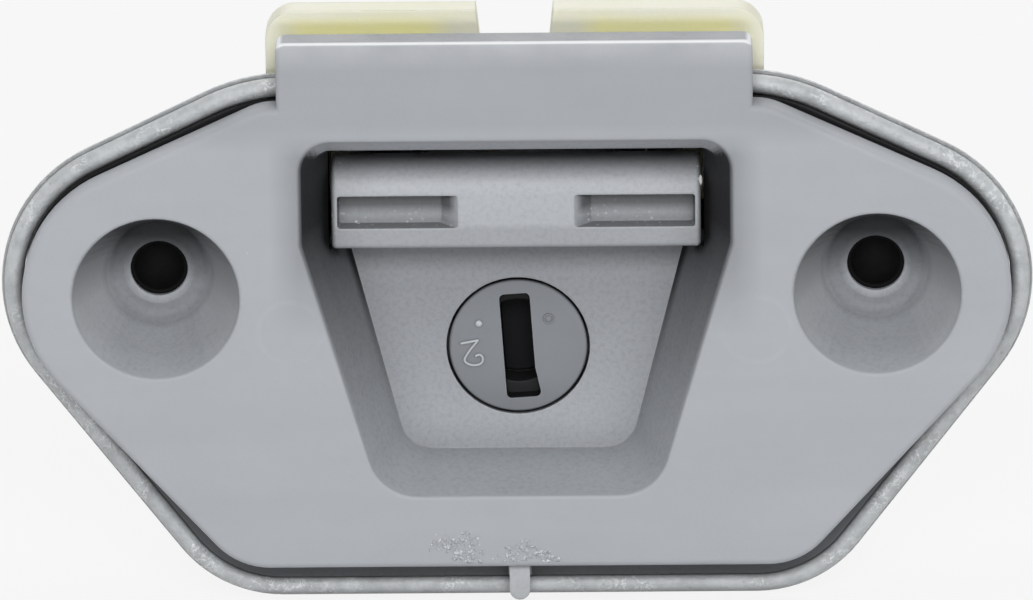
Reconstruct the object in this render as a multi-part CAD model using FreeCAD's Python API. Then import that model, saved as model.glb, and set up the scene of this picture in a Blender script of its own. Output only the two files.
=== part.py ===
"""Dishwasher door latch: a grey front cover with a seal cord round it, a sprung latch bar
and a slotted key disc in its pocket, and an ivory housing behind with the springs and switches.

Millimetres. +X to the right and +Z up as seen from the front, +Y to the rear.
The origin is midway between the two fixing holes, on the rear faces of their cups.
"""

import FreeCAD
import Part
import math
import os

from FreeCAD import Vector

# Fixing holes and their cups
hole_pitch = 70.0
hole_radius = 2.8
cup_mouth_radius = 8.2
cup_seat_radius = 4.9
cup_depth = 9.6
cup_floor = 1.9
cup_wall = 1.5
cup_lip_radius = 3.45
cup_lip_depth = 0.35
cup_lip_margin = 0.1

# Front cover: plate, block and the neck inside the seal
plate_end_radius = 13.0
plate_top_corner = (23.2, 13.2, 6.0)
plate_bottom_corner = (24.3, -20.75, 7.05)
plate_wall = 2.0
skirt_depth = 2.85
skirt_fillet = 0.65
mouth_fillet = 0.3
neck_wall = 2.4
neck_depth = 3.55
groove_depth = 1.6
groove_inset = 0.6
block_half_width = 23.0
block_top = 25.85
block_thickness = 2.9
block_crest_radius = 0.45
block_corner_radius = 1.0
block_foot_radius = 0.2
rib_thickness = 1.2
rib_height = 1.7
rib_lean = 42.0

# Pocket for the striker
pocket_half_width = 21.1
pocket_top = 15.85
pocket_knee = 5.15
pocket_bottom = -20.5
pocket_bottom_half_width = 13.5
pocket_top_radius = 3.2
pocket_knee_radius = 2.0
pocket_bottom_radius = 5.0
pocket_depth = 9.5
pocket_wall = 1.7
throat_depth = 3.0
throat_half_width = 19.6
throat_top = 14.05
throat_bottom = -19.9
throat_bottom_half_width = 12.6
floor_half_width = 16.4
floor_knee = 3.0
floor_bottom = -18.6
floor_bottom_half_width = 10.9
floor_bottom_radius = 3.2

# Retaining nib for the seal
nib_width = 2.0
nib_thickness = 1.7
nib_reach = 3.7
nib_root = 1.1

# Seal cord
seal_diameter = 1.9
seal_end_offset = 0.95
seal_top_corner = (21.8, 2.05, 17.9)
seal_bottom_corner = (23.2, -19.75, 11.35)
seal_gap = 1.25
seal_fit = 0.04
seal_lip_reach = 0.26
seal_lip_thickness = 0.4

# Rear housing
panel_gap = 1.0
flange_half_width = 24.15
flange_top = 26.85
flange_bottom = -18.6
flange_thickness = 3.0
flange_corner_radius = 2.9
flange_ear_radius = 3.3
notch_top_half_width = 3.85
notch_bottom_half_width = 3.0
notch_bottom = 20.4
notch_bottom_radius = 0.6
notch_top_radius = 0.2
box_side_room = 1.7
box_bottom = -17.5
box_top = 18.6
box_wall = 1.8
box_depth = 23.7
box_slope = 4.2
box_slope_length = 9.0
pin_boss_radius = 3.0
pin_boss_gap = 0.3
pin_head_room = 1.0
box_corner_radius = 2.0
box_rib_spacing = 8.4
box_rib_height = 0.9
tower_wall = 1.6
tower_top = 24.0
tower_ceiling = 1.8
pocket_clearance = 0.35

# Rear lid with its two switch shelves
lid_thickness = 1.8
lid_spigot = 1.5
lid_spigot_wall = 1.4
lid_spigot_drop = 0.9
lid_fit = 0.1
lid_boss_radius = 2.6
lid_boss_depth = 6.5
lid_top_corner_radius = 0.8
spigot_corner_radius = 0.6
spigot_bottom_radius = 1.2
shelf_thickness = 2.0
shelf_fit = 0.05
shelf_margin = 0.4

# Latch bar
bar_half_width = 17.95
bar_front_depth = 4.5
bar_bottom = 3.5
bar_top = 12.0
bar_nose_radius = 3.2
bar_nose_thickness = 4.2
bar_edge_radius = 0.5
bar_end_radius = 0.45
bar_web_bottom = 7.8
bar_web_thickness = 3.0
bar_web_margin = 0.7
bar_arm_inset = 0.2
bar_arm_start = 7.0
bar_pocket_inner = 5.6
bar_pocket_end_wall = 0.55
bar_pocket_low = 5.6
bar_pocket_high = 8.9
bar_pocket_depth = 1.5
bar_pocket_inner_slope = 1.7
bar_pocket_wall_slope = 0.15
bar_pocket_corner_radius = 0.3
bar_end_clearance = 0.3
bar_swing = 12.0
bar_top_clearance = 0.6
bar_stop_half_width = 9.0
bar_stop_gap = 0.03
bar_stop_inset = 0.2
barrel_radius = 3.3
barrel_half_width = 15.2
pivot_depth = 23.5
pivot_height = 5.5
pin_radius = 1.5
pin_running_clearance = 0.05
pin_seat_clearance = 0.02
pin_head_radius = 2.5
pin_head_thickness = 0.9
pin_overhang = 1.6
pin_clip_opening = 1.4

# Latch springs
spring_inset = 5.95
spring_depth = 12.8
spring_mean_radius = 3.1
spring_wire_radius = 0.5
spring_turns = 5.5
spring_clearance = 0.7
spring_seat_gap = 0.03
peg_radius = 1.9
peg_height = 2.2
web_peg_height = 1.4

# Key disc, its hub, cam and spring
disc_height = -8.1
disc_radius = 6.78
disc_clearance = 0.25
disc_thickness = 1.7
disc_edge_radius = 0.25
disc_running_gap = 0.1
hub_radius = 4.2
hub_running_clearance = 0.06
bearing_radius = 7.6
bearing_depth = 3.2
tail_radius = 2.6
tail_flat = 1.9
tail_fit = 0.03
key_slot_width = 3.0
key_slot_length = 10.7
key_slot_flare = 0.45
key_slot_tilt = 3.8
key_slot_depth = 5.4
key_slot_corner_radius = 0.5
key_slot_flare_radius = 3.0
key_slot_flare_start = 0.45
cam_base_radius = 6.2
cam_rest_radius = 7.0
cam_travel = 1.2
cam_turn = 30.0
cam_dwell = 12.0
cam_thickness = 3.2
cam_end_gap = 0.1
plunger_gap = 0.16
clip_thickness = 0.8
clip_reach = 1.4
clip_groove = 0.5
rotor_clip_opening = 1.6
turn_spring_wire_radius = 0.35
turn_spring_pitch = 1.15
turn_spring_turns = 1.5
turn_spring_gap = 0.3
turn_spring_leg = 3.4
turn_post_radius = 0.9
turn_post_height = 1.4
running_gap = 0.3

# Switches and terminals
switch_cam_room = 2.1
switch_width = 6.5
switch_length = 12.8
switch_height = 5.8
switch_lid_thickness = 0.9
switch_wall = 0.9
switch_edge_radius = 0.3
switch_hole_radius = 0.95
switch_hole_wall = 0.65
switch_hole_inset = 3.4
switch_hole_places = (6.6, 10.6)
plunger_inset = 3.0
plunger_radius = 1.1
plunger_clearance = 0.05
plunger_collar_radius = 1.6
plunger_collar_thickness = 0.6
plunger_stem = 1.6
terminal_thickness = 0.5
terminal_width = 2.8
terminal_spacing = 4.5
terminal_reach = 7.0
terminal_root = 0.5
terminal_hole_radius = 0.6
terminal_hole_inset = 2.4
terminal_chamfer = 0.6
terminal_slot_margin = 0.5
peg_fit = 0.04
peg_overhang = 0.5

# Screws
screw_head_radius = 2.1
screw_head_height = 1.4
screw_shank_radius = 1.1
screw_length = 7.0
screw_fit = 0.02
screw_hole_clearance = 0.1
screw_slot_width = 0.6
screw_slot_depth = 0.6
screw_slot_reach = 1.47
cover_screw_top = (24.9, 12.6)
cover_screw_bottom = (18.0, -20.9)
cover_boss_radius = 2.3
lid_screw_top = (16.1, 10.2)
lid_screw_bottom = (5.5, -13.3)

# Allowances: how far joined forms reach into each other, how far cutters overshoot, the
# least overshoot, and how near two sizes count as equal when edges are picked
overlap = 0.5
overshoot = 1.0
cut_skin = 0.01
same = 1e-6

# Planes along Y, worked out from the depths
front_face = -(cup_depth + cup_floor)
skirt_rear = front_face + skirt_depth
neck_rear = skirt_rear + neck_depth
seal_y = skirt_rear + seal_gap + seal_diameter / 2
flange_front = neck_rear + panel_gap
flange_rear = flange_front + flange_thickness
pocket_floor = front_face + pocket_depth
pocket_back = pocket_floor + pocket_wall
bar_front = front_face + bar_front_depth
pivot_y = front_face + pivot_depth
spring_y = front_face + spring_depth
box_rear = flange_rear + box_depth
disc_rear = pocket_floor + disc_thickness
bearing_front = disc_rear + disc_running_gap
bearing_rear = pocket_back + bearing_depth
turn_spring_height = turn_spring_pitch * turn_spring_turns + 2 * turn_spring_wire_radius
cam_front = bearing_rear + turn_spring_height + 2 * running_gap
cam_rear = cam_front + cam_thickness
clip_front = cam_rear + cam_end_gap
clip_rear = clip_front + clip_thickness
plunger_y = (cam_front + cam_rear) / 2
switch_front = plunger_y - plunger_inset
switch_rear = switch_front + switch_length
web_top = bar_web_bottom + bar_web_thickness
tower_ceiling_z = tower_top - tower_ceiling
spring_room = spring_mean_radius + spring_wire_radius + spring_clearance
switch_inner_x = cam_rest_radius + cam_travel + switch_cam_room
switch_outer_x = switch_inner_x + switch_width
switch_hole_x = switch_outer_x - switch_hole_inset
switch_low = disc_height - switch_height / 2
switch_high = disc_height + switch_height / 2
box_half_width = switch_outer_x + box_side_room + box_wall
box_rear_top = box_top - box_slope
opening_top = box_top - box_wall
spring_x = bar_half_width - spring_inset
bar_web_half_width = spring_x + spring_mean_radius + spring_wire_radius + bar_web_margin
bar_arm_half_width = barrel_half_width - bar_arm_inset
bar_pocket_outer = bar_half_width - bar_pocket_end_wall


def along_y(radius, start, end, x, z):
    """A cylinder along Y from start to end."""
    return Part.makeCylinder(radius, end - start, Vector(x, start, z), Vector(0, 1, 0))


def along_x(radius, start, end, y, z):
    """A cylinder along X from start to end."""
    return Part.makeCylinder(radius, end - start, Vector(start, y, z), Vector(1, 0, 0))


def along_z(radius, start, end, x, y):
    """A cylinder along Z from start to end."""
    return Part.makeCylinder(radius, end - start, Vector(x, y, start), Vector(0, 0, 1))


def block(x0, x1, y0, y1, z0, z1):
    """A box between two corners."""
    return Part.makeBox(x1 - x0, y1 - y0, z1 - z0, Vector(x0, y0, z0))


def mirrored(shape):
    """The shape on the other side of the plane X = 0."""
    return shape.mirror(Vector(0, 0, 0), Vector(1, 0, 0))


def save(name, shape):
    """Writes one node's solids to parts/NAME.step."""
    if shape.ShapeType != "Solid":
        shape = Part.makeCompound(shape.Solids)
    shape.exportStep(f"parts/{name}.step")
    print(name, len(shape.Solids), round(shape.Volume, 2), shape.isValid())


def symmetric_circles(*right_side):
    """Circles listed from the bottom up the right side, with their mirror images, anticlockwise."""
    left_side = [(-x, z, r) for x, z, r in reversed(right_side)]
    return list(right_side) + left_side


def hull_wire(circles, y, offset=0.0):
    """The belt line round circles (x, z, radius), as arcs and tangents in the plane at y."""
    touches = []
    count = len(circles)
    for index in range(count):
        x0, z0, r0 = circles[index]
        x1, z1, r1 = circles[(index + 1) % count]
        direction = math.atan2(z1 - z0, x1 - x0)
        lean = math.asin((r0 - r1) / math.hypot(x1 - x0, z1 - z0))
        normal = direction - math.pi / 2 + lean
        start = (x0 + (r0 + offset) * math.cos(normal), z0 + (r0 + offset) * math.sin(normal))
        end = (x1 + (r1 + offset) * math.cos(normal), z1 + (r1 + offset) * math.sin(normal))
        touches.append((start, end, normal))
    edges = []
    for index in range(count):
        start, end, normal = touches[index]
        edges.append(Part.makeLine(Vector(start[0], y, start[1]), Vector(end[0], y, end[1])))
        next_start, _, next_normal = touches[(index + 1) % count]
        x, z, r = circles[(index + 1) % count]
        turn = (next_normal - normal) % (2 * math.pi)
        middle = normal + turn / 2
        through = Vector(x + (r + offset) * math.cos(middle), y, z + (r + offset) * math.sin(middle))
        arc = Part.Arc(Vector(end[0], y, end[1]), through, Vector(next_start[0], y, next_start[1]))
        edges.append(arc.toShape())
    return Part.Wire(edges)


def rounded_wire(corners, y):
    """A closed polygon (x, z, corner radius) in the plane at y, with its corners as arcs."""
    count = len(corners)
    starts, arcs = [], []
    for index in range(count):
        before = Vector(corners[index - 1][0], y, corners[index - 1][1])
        corner = Vector(corners[index][0], y, corners[index][1])
        after = Vector(corners[(index + 1) % count][0], y, corners[(index + 1) % count][1])
        radius = corners[index][2]
        back = (before - corner).normalize()
        ahead = (after - corner).normalize()
        half_angle = back.getAngle(ahead) / 2
        reach = radius / math.tan(half_angle)
        bisector = (back + ahead).normalize()
        centre = corner + bisector * (radius / math.sin(half_angle))
        arc_start = corner + back * reach
        arc_end = corner + ahead * reach
        arcs.append(Part.Arc(arc_start, centre - bisector * radius, arc_end).toShape())
        starts.append((arc_start, arc_end))
    edges = []
    for index in range(count):
        edges.append(arcs[index])
        edges.append(Part.makeLine(starts[index][1], starts[(index + 1) % count][0]))
    return Part.Wire(edges)


def prism(wire, depth):
    """A wire in an XZ plane, filled and carried back along Y."""
    return Part.Face(wire).extrude(Vector(0, depth, 0))


def pocket_section(half_width, top, knee, bottom, bottom_half_width, radii, y, grow=0.0):
    """One section of the striker pocket: straight sided above the knee and tapered below."""
    top_radius, knee_radius, bottom_radius = radii
    corners = [
        (bottom_half_width + grow, bottom - grow, bottom_radius + grow),
        (half_width + grow, knee, knee_radius),
        (half_width + grow, top + grow, top_radius + grow),
    ]
    left = [(-x, z, r) for x, z, r in reversed(corners)]
    return rounded_wire(corners + left, y)


def pocket_sections(grow=0.0, front_extra=0.0, back_extra=0.0):
    """The pocket's mouth, throat and floor sections, grown by a wall thickness."""
    mouth = pocket_section(
        pocket_half_width, pocket_top, pocket_knee, pocket_bottom, pocket_bottom_half_width,
        (pocket_top_radius, pocket_knee_radius, pocket_bottom_radius), front_face - front_extra, grow)
    throat = pocket_section(
        throat_half_width, throat_top, pocket_knee, throat_bottom, throat_bottom_half_width,
        (pocket_top_radius / 2, pocket_knee_radius, (pocket_bottom_radius + floor_bottom_radius) / 2),
        front_face + throat_depth, grow)
    floor = pocket_section(
        floor_half_width, throat_top, floor_knee, floor_bottom, floor_bottom_half_width,
        (pocket_top_radius / 2, pocket_knee_radius, floor_bottom_radius), pocket_floor + back_extra, grow)
    return mouth, throat, floor


def pocket_solid(grow=0.0, front_extra=0.0, back_extra=0.0):
    """The pocket's space, or with grow its outer shape, as two tapered lengths."""
    mouth, throat, floor = pocket_sections(grow, front_extra, back_extra)
    front = Part.makeLoft([mouth, throat], True, True)
    rear = Part.makeLoft([throat, floor], True, True)
    return front.fuse(rear).removeSplitter()


plate_circles = symmetric_circles(
    plate_bottom_corner, (hole_pitch / 2, 0.0, plate_end_radius), plate_top_corner)
plate_bottom = plate_bottom_corner[1] - plate_bottom_corner[2]
plate_top = plate_top_corner[1] + plate_top_corner[2]
seal_circles = symmetric_circles(
    seal_bottom_corner, (hole_pitch / 2, 0.0, plate_end_radius + seal_end_offset), seal_top_corner)
neck_inset = seal_diameter / 2 + seal_fit


def bar_window():
    """Half width, bottom and top of the way through the cover in which the latch bar swings."""
    turn = math.radians(bar_swing)
    lever = pivot_depth - bar_front_depth - bar_nose_radius
    rise = lever * math.sin(turn) + (bar_top - pivot_height) * math.cos(turn)
    return bar_half_width + bar_end_clearance, floor_knee + bar_end_clearance, (
        pivot_height + rise + bar_top_clearance)


def make_block():
    """The raised block above the plate, with a rounded crest."""
    low = plate_top - plate_top_corner[2]
    corners = [
        (block_half_width, low, block_foot_radius),
        (block_half_width, block_top, block_corner_radius),
    ]
    corners += [(-x, z, r) for x, z, r in reversed(corners)]
    solid = prism(rounded_wire(corners, front_face), block_thickness)
    crest = [
        edge for edge in solid.Edges
        if edge.BoundBox.YMax < front_face + same and edge.BoundBox.ZMax > low + overshoot
    ]
    return solid.makeFillet(block_crest_radius, crest)


def make_plate():
    """The plate's shell: face, skirt, a groove behind it and the neck that the seal lies round."""
    skirt = prism(hull_wire(plate_circles, front_face), skirt_depth)
    rim = [edge for edge in skirt.Edges if edge.BoundBox.YMax < front_face + same]
    skirt = skirt.makeFillet(skirt_fillet, rim)
    groove = prism(hull_wire(plate_circles, skirt_rear - overlap, -groove_inset), groove_depth + overlap)
    neck_front = skirt_rear + groove_depth
    neck = prism(hull_wire(seal_circles, neck_front, -neck_inset), neck_depth - groove_depth)
    hollow = prism(
        hull_wire(plate_circles, front_face + plate_wall, -neck_wall),
        skirt_depth - plate_wall + neck_depth)
    return skirt.fuse(groove).fuse(neck).cut(hollow)


def make_ribs():
    """Stiffening ribs behind the plate, cut to the inside of the neck."""
    back = front_face + plate_wall
    reach = plate_end_radius + hole_pitch
    half = rib_thickness / 2
    ribs = [block(-reach, reach, back, back + rib_height, -half, half)]
    for side in (-1, 1):
        x = side * hole_pitch / 2
        ribs.append(block(x - half, x + half, back, back + rib_height, plate_bottom, plate_top))
        lean = block(-half, half, back, back + rib_height, plate_bottom, plate_top)
        lean.rotate(Vector(0, 0, 0), Vector(0, 1, 0), side * rib_lean)
        lean.translate(Vector(x, 0, 0))
        ribs.append(lean)
    inside = prism(hull_wire(plate_circles, back, -neck_wall / 2), rib_height)
    return Part.makeCompound([rib.common(inside) for rib in ribs])


def make_cup(x):
    """The outer shape of one fixing cup, and the space inside it."""
    mouth = Vector(x, front_face, 0)
    outer = Part.makeCone(
        cup_mouth_radius + cup_wall, cup_seat_radius + cup_wall, cup_depth + cup_floor,
        mouth, Vector(0, 1, 0))
    inner = Part.makeCone(
        cup_mouth_radius, cup_seat_radius, cup_depth, mouth, Vector(0, 1, 0))
    seat_edges = [
        edge for edge in inner.Edges
        if edge.BoundBox.YMin > front_face + cup_depth - same
    ]
    inner = inner.makeFillet(cup_seat_radius - cup_lip_radius - cup_lip_margin, seat_edges)
    bore = along_y(hole_radius, front_face, 0.0, x, 0)
    lead = Part.makeCone(
        hole_radius, cup_lip_radius, cup_lip_depth,
        Vector(x, front_face + cup_depth + cup_lip_depth, 0), Vector(0, -1, 0))
    return outer, inner.fuse(bore).fuse(lead)


def make_nib():
    """The small nib at the bottom edge that hangs in front of the seal and keeps it in place."""
    front = skirt_rear - nib_thickness
    low = plate_bottom - nib_reach
    bar = block(
        -nib_width / 2, nib_width / 2, front, skirt_rear,
        low + nib_width / 2, plate_bottom + nib_root)
    tip = along_y(nib_width / 2, front, skirt_rear, 0, low + nib_width / 2)
    return bar.fuse(tip)


def cover_screw_places():
    """The four places (x, z) where the cover and the housing are screwed together."""
    places = []
    for side in (-1, 1):
        places.append((side * cover_screw_top[0], cover_screw_top[1]))
        places.append((side * cover_screw_bottom[0], cover_screw_bottom[1]))
    return places


def key_slot():
    """The key slot's space: a long slot that flares at its lower end, leaning to the left."""
    half = key_slot_width / 2
    long_half = key_slot_length / 2
    front = pocket_floor - overshoot
    corners = [
        (half + key_slot_flare, -long_half, key_slot_corner_radius),
        (half, -long_half * key_slot_flare_start, key_slot_flare_radius),
        (half, long_half, key_slot_corner_radius),
        (-half, long_half, key_slot_corner_radius),
        (-half, -long_half, key_slot_corner_radius),
    ]
    slot = prism(rounded_wire(corners, front), overshoot + key_slot_depth)
    slot.rotate(Vector(0, front, 0), Vector(0, 1, 0), -key_slot_tilt)
    slot.translate(Vector(0, 0, disc_height))
    return slot


def soften_mouths(cover):
    """The cover with the front edges of its pocket and its two cups rounded."""
    edges = []
    for edge in cover.Edges:
        around = edge.BoundBox
        if around.YMax > front_face + same:
            continue
        in_pocket = abs(around.Center.x) < pocket_half_width + same and (
            pocket_bottom - same < around.Center.z < pocket_top + same)
        on_cup = abs(abs(around.Center.x) - hole_pitch / 2) < cup_mouth_radius and (
            abs(around.Center.z) < cup_mouth_radius)
        if in_pocket or on_cup:
            edges.append(edge)
    return cover.makeFillet(mouth_fillet, edges)


def make_front_cover():
    """Grey moulding on the tub side: plate, block, striker pocket, cups, bosses and bearing."""
    cover = make_plate().fuse(make_block())
    cups = [make_cup(side * hole_pitch / 2) for side in (-1, 1)]
    extras = [outer for outer, _ in cups]
    extras += make_ribs().Solids
    extras.append(pocket_solid(pocket_wall, 0.0, pocket_wall))
    extras.append(along_y(bearing_radius, pocket_floor, bearing_rear, 0, disc_height))
    extras.append(make_nib())
    for x, z in cover_screw_places():
        extras.append(along_y(cover_boss_radius, front_face + plate_wall, flange_front, x, z))
    extras.append(along_y(
        turn_post_radius, bearing_rear - turn_post_radius, bearing_rear + turn_post_height,
        hub_radius + turn_spring_gap + 2 * turn_spring_wire_radius + turn_post_radius + screw_fit,
        disc_height + turn_spring_leg - turn_post_radius / 2))
    cover = cover.multiFuse(extras)
    half_width, low, top = bar_window()
    spaces = [inner for _, inner in cups]
    spaces.append(pocket_solid())
    spaces.append(block(
        -half_width, half_width, front_face + throat_depth, bearing_rear + box_depth, low, top))
    spaces.append(along_y(
        disc_radius + disc_clearance, pocket_floor, bearing_front, 0, disc_height))
    spaces.append(along_y(
        hub_radius + hub_running_clearance, pocket_floor, bearing_rear, 0, disc_height))
    for x, z in cover_screw_places():
        spaces.append(along_y(
            screw_shank_radius + screw_fit, flange_rear - screw_length - screw_fit, flange_front, x, z))
    for place in spaces:
        cover = cover.cut(place)
    return soften_mouths(cover.removeSplitter())


def make_seal_cord():
    """Rubber cord laid round the neck: a round bead with a thin lip on its rear side."""
    path = hull_wire(seal_circles, seal_y)
    radius = seal_diameter / 2
    first = path.Edges[0]
    start = first.FirstParameter
    profile = Part.Wire([Part.makeCircle(radius, first.valueAt(start), first.tangentAt(start))])
    bead = path.makePipeShell([profile], True, False)
    lip_front = seal_y + radius / 2
    outer = prism(hull_wire(seal_circles, lip_front, radius + seal_lip_reach), seal_lip_thickness)
    inner = prism(hull_wire(seal_circles, lip_front, 0.0), seal_lip_thickness)
    return bead.fuse(outer.cut(inner)).removeSplitter()


def make_latch_bar():
    """Sprung bar across the pocket: rounded nose with two finger recesses, web and pivot barrel."""
    nose_rear = bar_front + bar_nose_thickness
    nose = block(-bar_half_width, bar_half_width, bar_front, nose_rear, bar_bottom, bar_top)
    top_edge = [
        edge for edge in nose.Edges
        if edge.BoundBox.YMax < bar_front + same and edge.BoundBox.ZMin > bar_top - same
    ]
    nose = nose.makeFillet(bar_nose_radius, top_edge)
    low_edge = [
        edge for edge in nose.Edges
        if edge.BoundBox.YMax < bar_front + same and edge.BoundBox.ZMax < bar_bottom + same
    ]
    nose = nose.makeFillet(bar_edge_radius, low_edge)
    end_edges = [
        edge for edge in nose.Edges
        if edge.BoundBox.XLength < same and edge.BoundBox.YMin < nose_rear - same
    ]
    nose = nose.makeFillet(bar_end_radius, end_edges)
    web = block(
        -bar_web_half_width, bar_web_half_width, nose_rear - overlap, bar_arm_start,
        bar_web_bottom, web_top)
    web = web.fuse(block(
        -bar_arm_half_width, bar_arm_half_width, bar_arm_start - overlap, pivot_y,
        bar_web_bottom, web_top))
    barrel = along_x(barrel_radius, -barrel_half_width, barrel_half_width, pivot_y, pivot_height)
    stop = block(
        -bar_stop_half_width, bar_stop_half_width,
        pocket_floor + bar_stop_inset, pocket_back - bar_stop_inset,
        floor_knee + bar_end_clearance + bar_stop_gap, bar_web_bottom + overlap)
    bar = nose.multiFuse([web, barrel, stop])
    for side in (-1, 1):
        bar = bar.fuse(along_z(
            peg_radius, web_top - overlap, web_top + web_peg_height, side * spring_x, spring_y))
        bar = bar.cut(bar_recess() if side > 0 else mirrored(bar_recess()))
    bore_reach = barrel_half_width + overshoot
    bore = along_x(
        pin_radius + pin_running_clearance, -bore_reach, bore_reach, pivot_y, pivot_height)
    return bar.cut(bore).removeSplitter()


def bar_recess():
    """One finger recess in the bar's face, steep on three sides and sloping towards the middle."""
    radius = bar_pocket_corner_radius
    slope = bar_pocket_wall_slope
    mouth = rounded_wire([
        (bar_pocket_outer, bar_pocket_low, radius),
        (bar_pocket_outer, bar_pocket_high, radius),
        (bar_pocket_inner, bar_pocket_high, radius),
        (bar_pocket_inner, bar_pocket_low, radius),
    ], bar_front - cut_skin)
    floor_inner = bar_pocket_inner + bar_pocket_inner_slope
    floor = rounded_wire([
        (bar_pocket_outer - slope, bar_pocket_low + slope, radius),
        (bar_pocket_outer - slope, bar_pocket_high - slope, radius),
        (floor_inner, bar_pocket_high - slope, radius),
        (floor_inner, bar_pocket_low + slope, radius),
    ], bar_front + bar_pocket_depth)
    return Part.makeLoft([mouth, floor], True, True)


def make_pivot_pin():
    """Steel pin through the housing's sides and the bar's barrel, with a head and a clip groove."""
    start = -box_half_width - pin_head_thickness
    pin = along_x(pin_radius, start, box_half_width + pin_overhang, pivot_y, pivot_height)
    head = along_x(pin_head_radius, start, -box_half_width, pivot_y, pivot_height)
    groove_start = box_half_width + pin_seat_clearance
    groove = along_x(
        pin_radius, groove_start, groove_start + clip_thickness, pivot_y, pivot_height)
    core = along_x(
        pin_radius - clip_groove, groove_start, groove_start + clip_thickness, pivot_y, pivot_height)
    return pin.fuse(head).cut(groove.cut(core)).removeSplitter()


def open_ring(inner, outer, thickness, gap):
    """A retaining ring about +Z with a gap at +X, its front at z = 0."""
    ring = Part.makeCylinder(outer, thickness).cut(Part.makeCylinder(inner, thickness))
    opening = Part.makeBox(outer + overshoot, gap, thickness, Vector(0, -gap / 2, 0))
    return ring.cut(opening)


def make_pin_clip():
    """Steel retaining ring in the pin's groove."""
    ring = open_ring(
        pin_radius - clip_groove + pin_seat_clearance, pin_radius + clip_reach,
        clip_thickness - 2 * pin_seat_clearance, pin_clip_opening)
    ring.rotate(Vector(0, 0, 0), Vector(0, 1, 0), 90)
    ring.translate(Vector(box_half_width + 2 * pin_seat_clearance, pivot_y, pivot_height))
    return ring


def tangent_arc(start, direction, end):
    """The arc from start to end that leaves start along direction."""
    chord = end - start
    along = Vector(chord).normalize()
    side = direction - along * direction.dot(along)
    if side.Length < same:
        return Part.makeLine(start, end)
    angle = direction.getAngle(along)
    middle = (start + end) * 0.5 + Vector(side).normalize() * (chord.Length / 2 * math.tan(angle / 2))
    return Part.Arc(start, middle, end).toShape()


def biarc(start, direction, end, end_direction):
    """Two arcs that join two points with the given directions."""
    chord = end - start
    total = direction + end_direction
    factor = 2 * (1 - direction.dot(end_direction))
    spread = chord.dot(total)
    reach = (-spread + math.sqrt(spread ** 2 + factor * chord.dot(chord))) / factor
    joint = (start + direction * reach + end - end_direction * reach) * 0.5
    middle_direction = (end - end_direction * reach - start - direction * reach).normalize()
    return [tangent_arc(start, direction, joint), tangent_arc(joint, middle_direction, end)]


def coil_edges(mean_radius, pitch, turns, start_angle):
    """A helix about +Z from z = 0, as biarcs of a quarter turn."""
    rise = pitch / (2 * math.pi)
    length = math.hypot(mean_radius, rise)

    def place(angle):
        return Vector(
            mean_radius * math.cos(angle), mean_radius * math.sin(angle),
            rise * (angle - start_angle))

    def heading(angle):
        return Vector(-mean_radius * math.sin(angle), mean_radius * math.cos(angle), rise) * (1 / length)

    edges = []
    quarters = round(turns * 4)
    for index in range(quarters):
        first = start_angle + index * math.pi / 2
        last = first + math.pi / 2
        edges += biarc(place(first), heading(first), place(last), heading(last))
    return edges


def least_gap(edges, wire_radius, mean_radius):
    """The least gap of the wire to itself, measured between points along its path."""
    points, lengths, run = [], [], 0.0
    for edge in edges:
        count = max(6, int(edge.Length / 0.4))
        for step in range(count):
            share = step / count
            span = edge.LastParameter - edge.FirstParameter
            points.append(edge.valueAt(edge.FirstParameter + share * span))
            lengths.append(run + share * edge.Length)
        run += edge.Length
    least = 1e9
    for index, point in enumerate(points):
        for other in range(index + 1, len(points)):
            if lengths[other] - lengths[index] > 3.0 * mean_radius:
                least = min(least, point.distanceToPoint(points[other]))
    return least - 2 * wire_radius


def wire_form(edges, wire_radius):
    """One round wire swept along the edges."""
    path = Part.Wire(edges)
    first = edges[0]
    profile = Part.Wire([Part.makeCircle(
        wire_radius, first.valueAt(first.FirstParameter), first.tangentAt(first.FirstParameter))])
    return path.makePipeShell([profile], True, False)


def make_latch_spring(side):
    """Compression spring between the bar's web and the ceiling of its tower."""
    low = web_top + spring_seat_gap + spring_wire_radius
    high = tower_ceiling_z - spring_seat_gap - spring_wire_radius
    pitch = (high - low) / spring_turns
    edges = coil_edges(spring_mean_radius, pitch, spring_turns, 0.0)
    gap = least_gap(edges, spring_wire_radius, spring_mean_radius)
    print("least gap in the latch spring", round(gap, 3))
    spring = wire_form(edges, spring_wire_radius)
    spring.translate(Vector(side * spring_x, spring_y, low))
    return spring


def make_key_rotor():
    """Slotted disc in the pocket's floor with the hub and the flatted tail behind it."""
    disc = along_y(disc_radius, pocket_floor, disc_rear, 0, disc_height)
    rim = [edge for edge in disc.Edges if edge.BoundBox.YMax < pocket_floor + same]
    disc = disc.makeFillet(disc_edge_radius, rim)
    hub = along_y(hub_radius, disc_rear, cam_front, 0, disc_height)
    tail = along_y(tail_radius, cam_front, clip_rear + clip_thickness, 0, disc_height)
    for side in (-1, 1):
        flat = block(
            side * tail_radius - (tail_radius - tail_flat), side * tail_radius + (tail_radius - tail_flat),
            cam_front, clip_rear + clip_thickness, disc_height - tail_radius, disc_height + tail_radius)
        tail = tail.cut(flat)
    groove = along_y(tail_radius, clip_front, clip_rear, 0, disc_height)
    core = along_y(tail_radius - clip_groove, clip_front, clip_rear, 0, disc_height)
    rotor = disc.multiFuse([hub, tail]).cut(groove.cut(core))
    return rotor.cut(key_slot()).removeSplitter()


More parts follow.
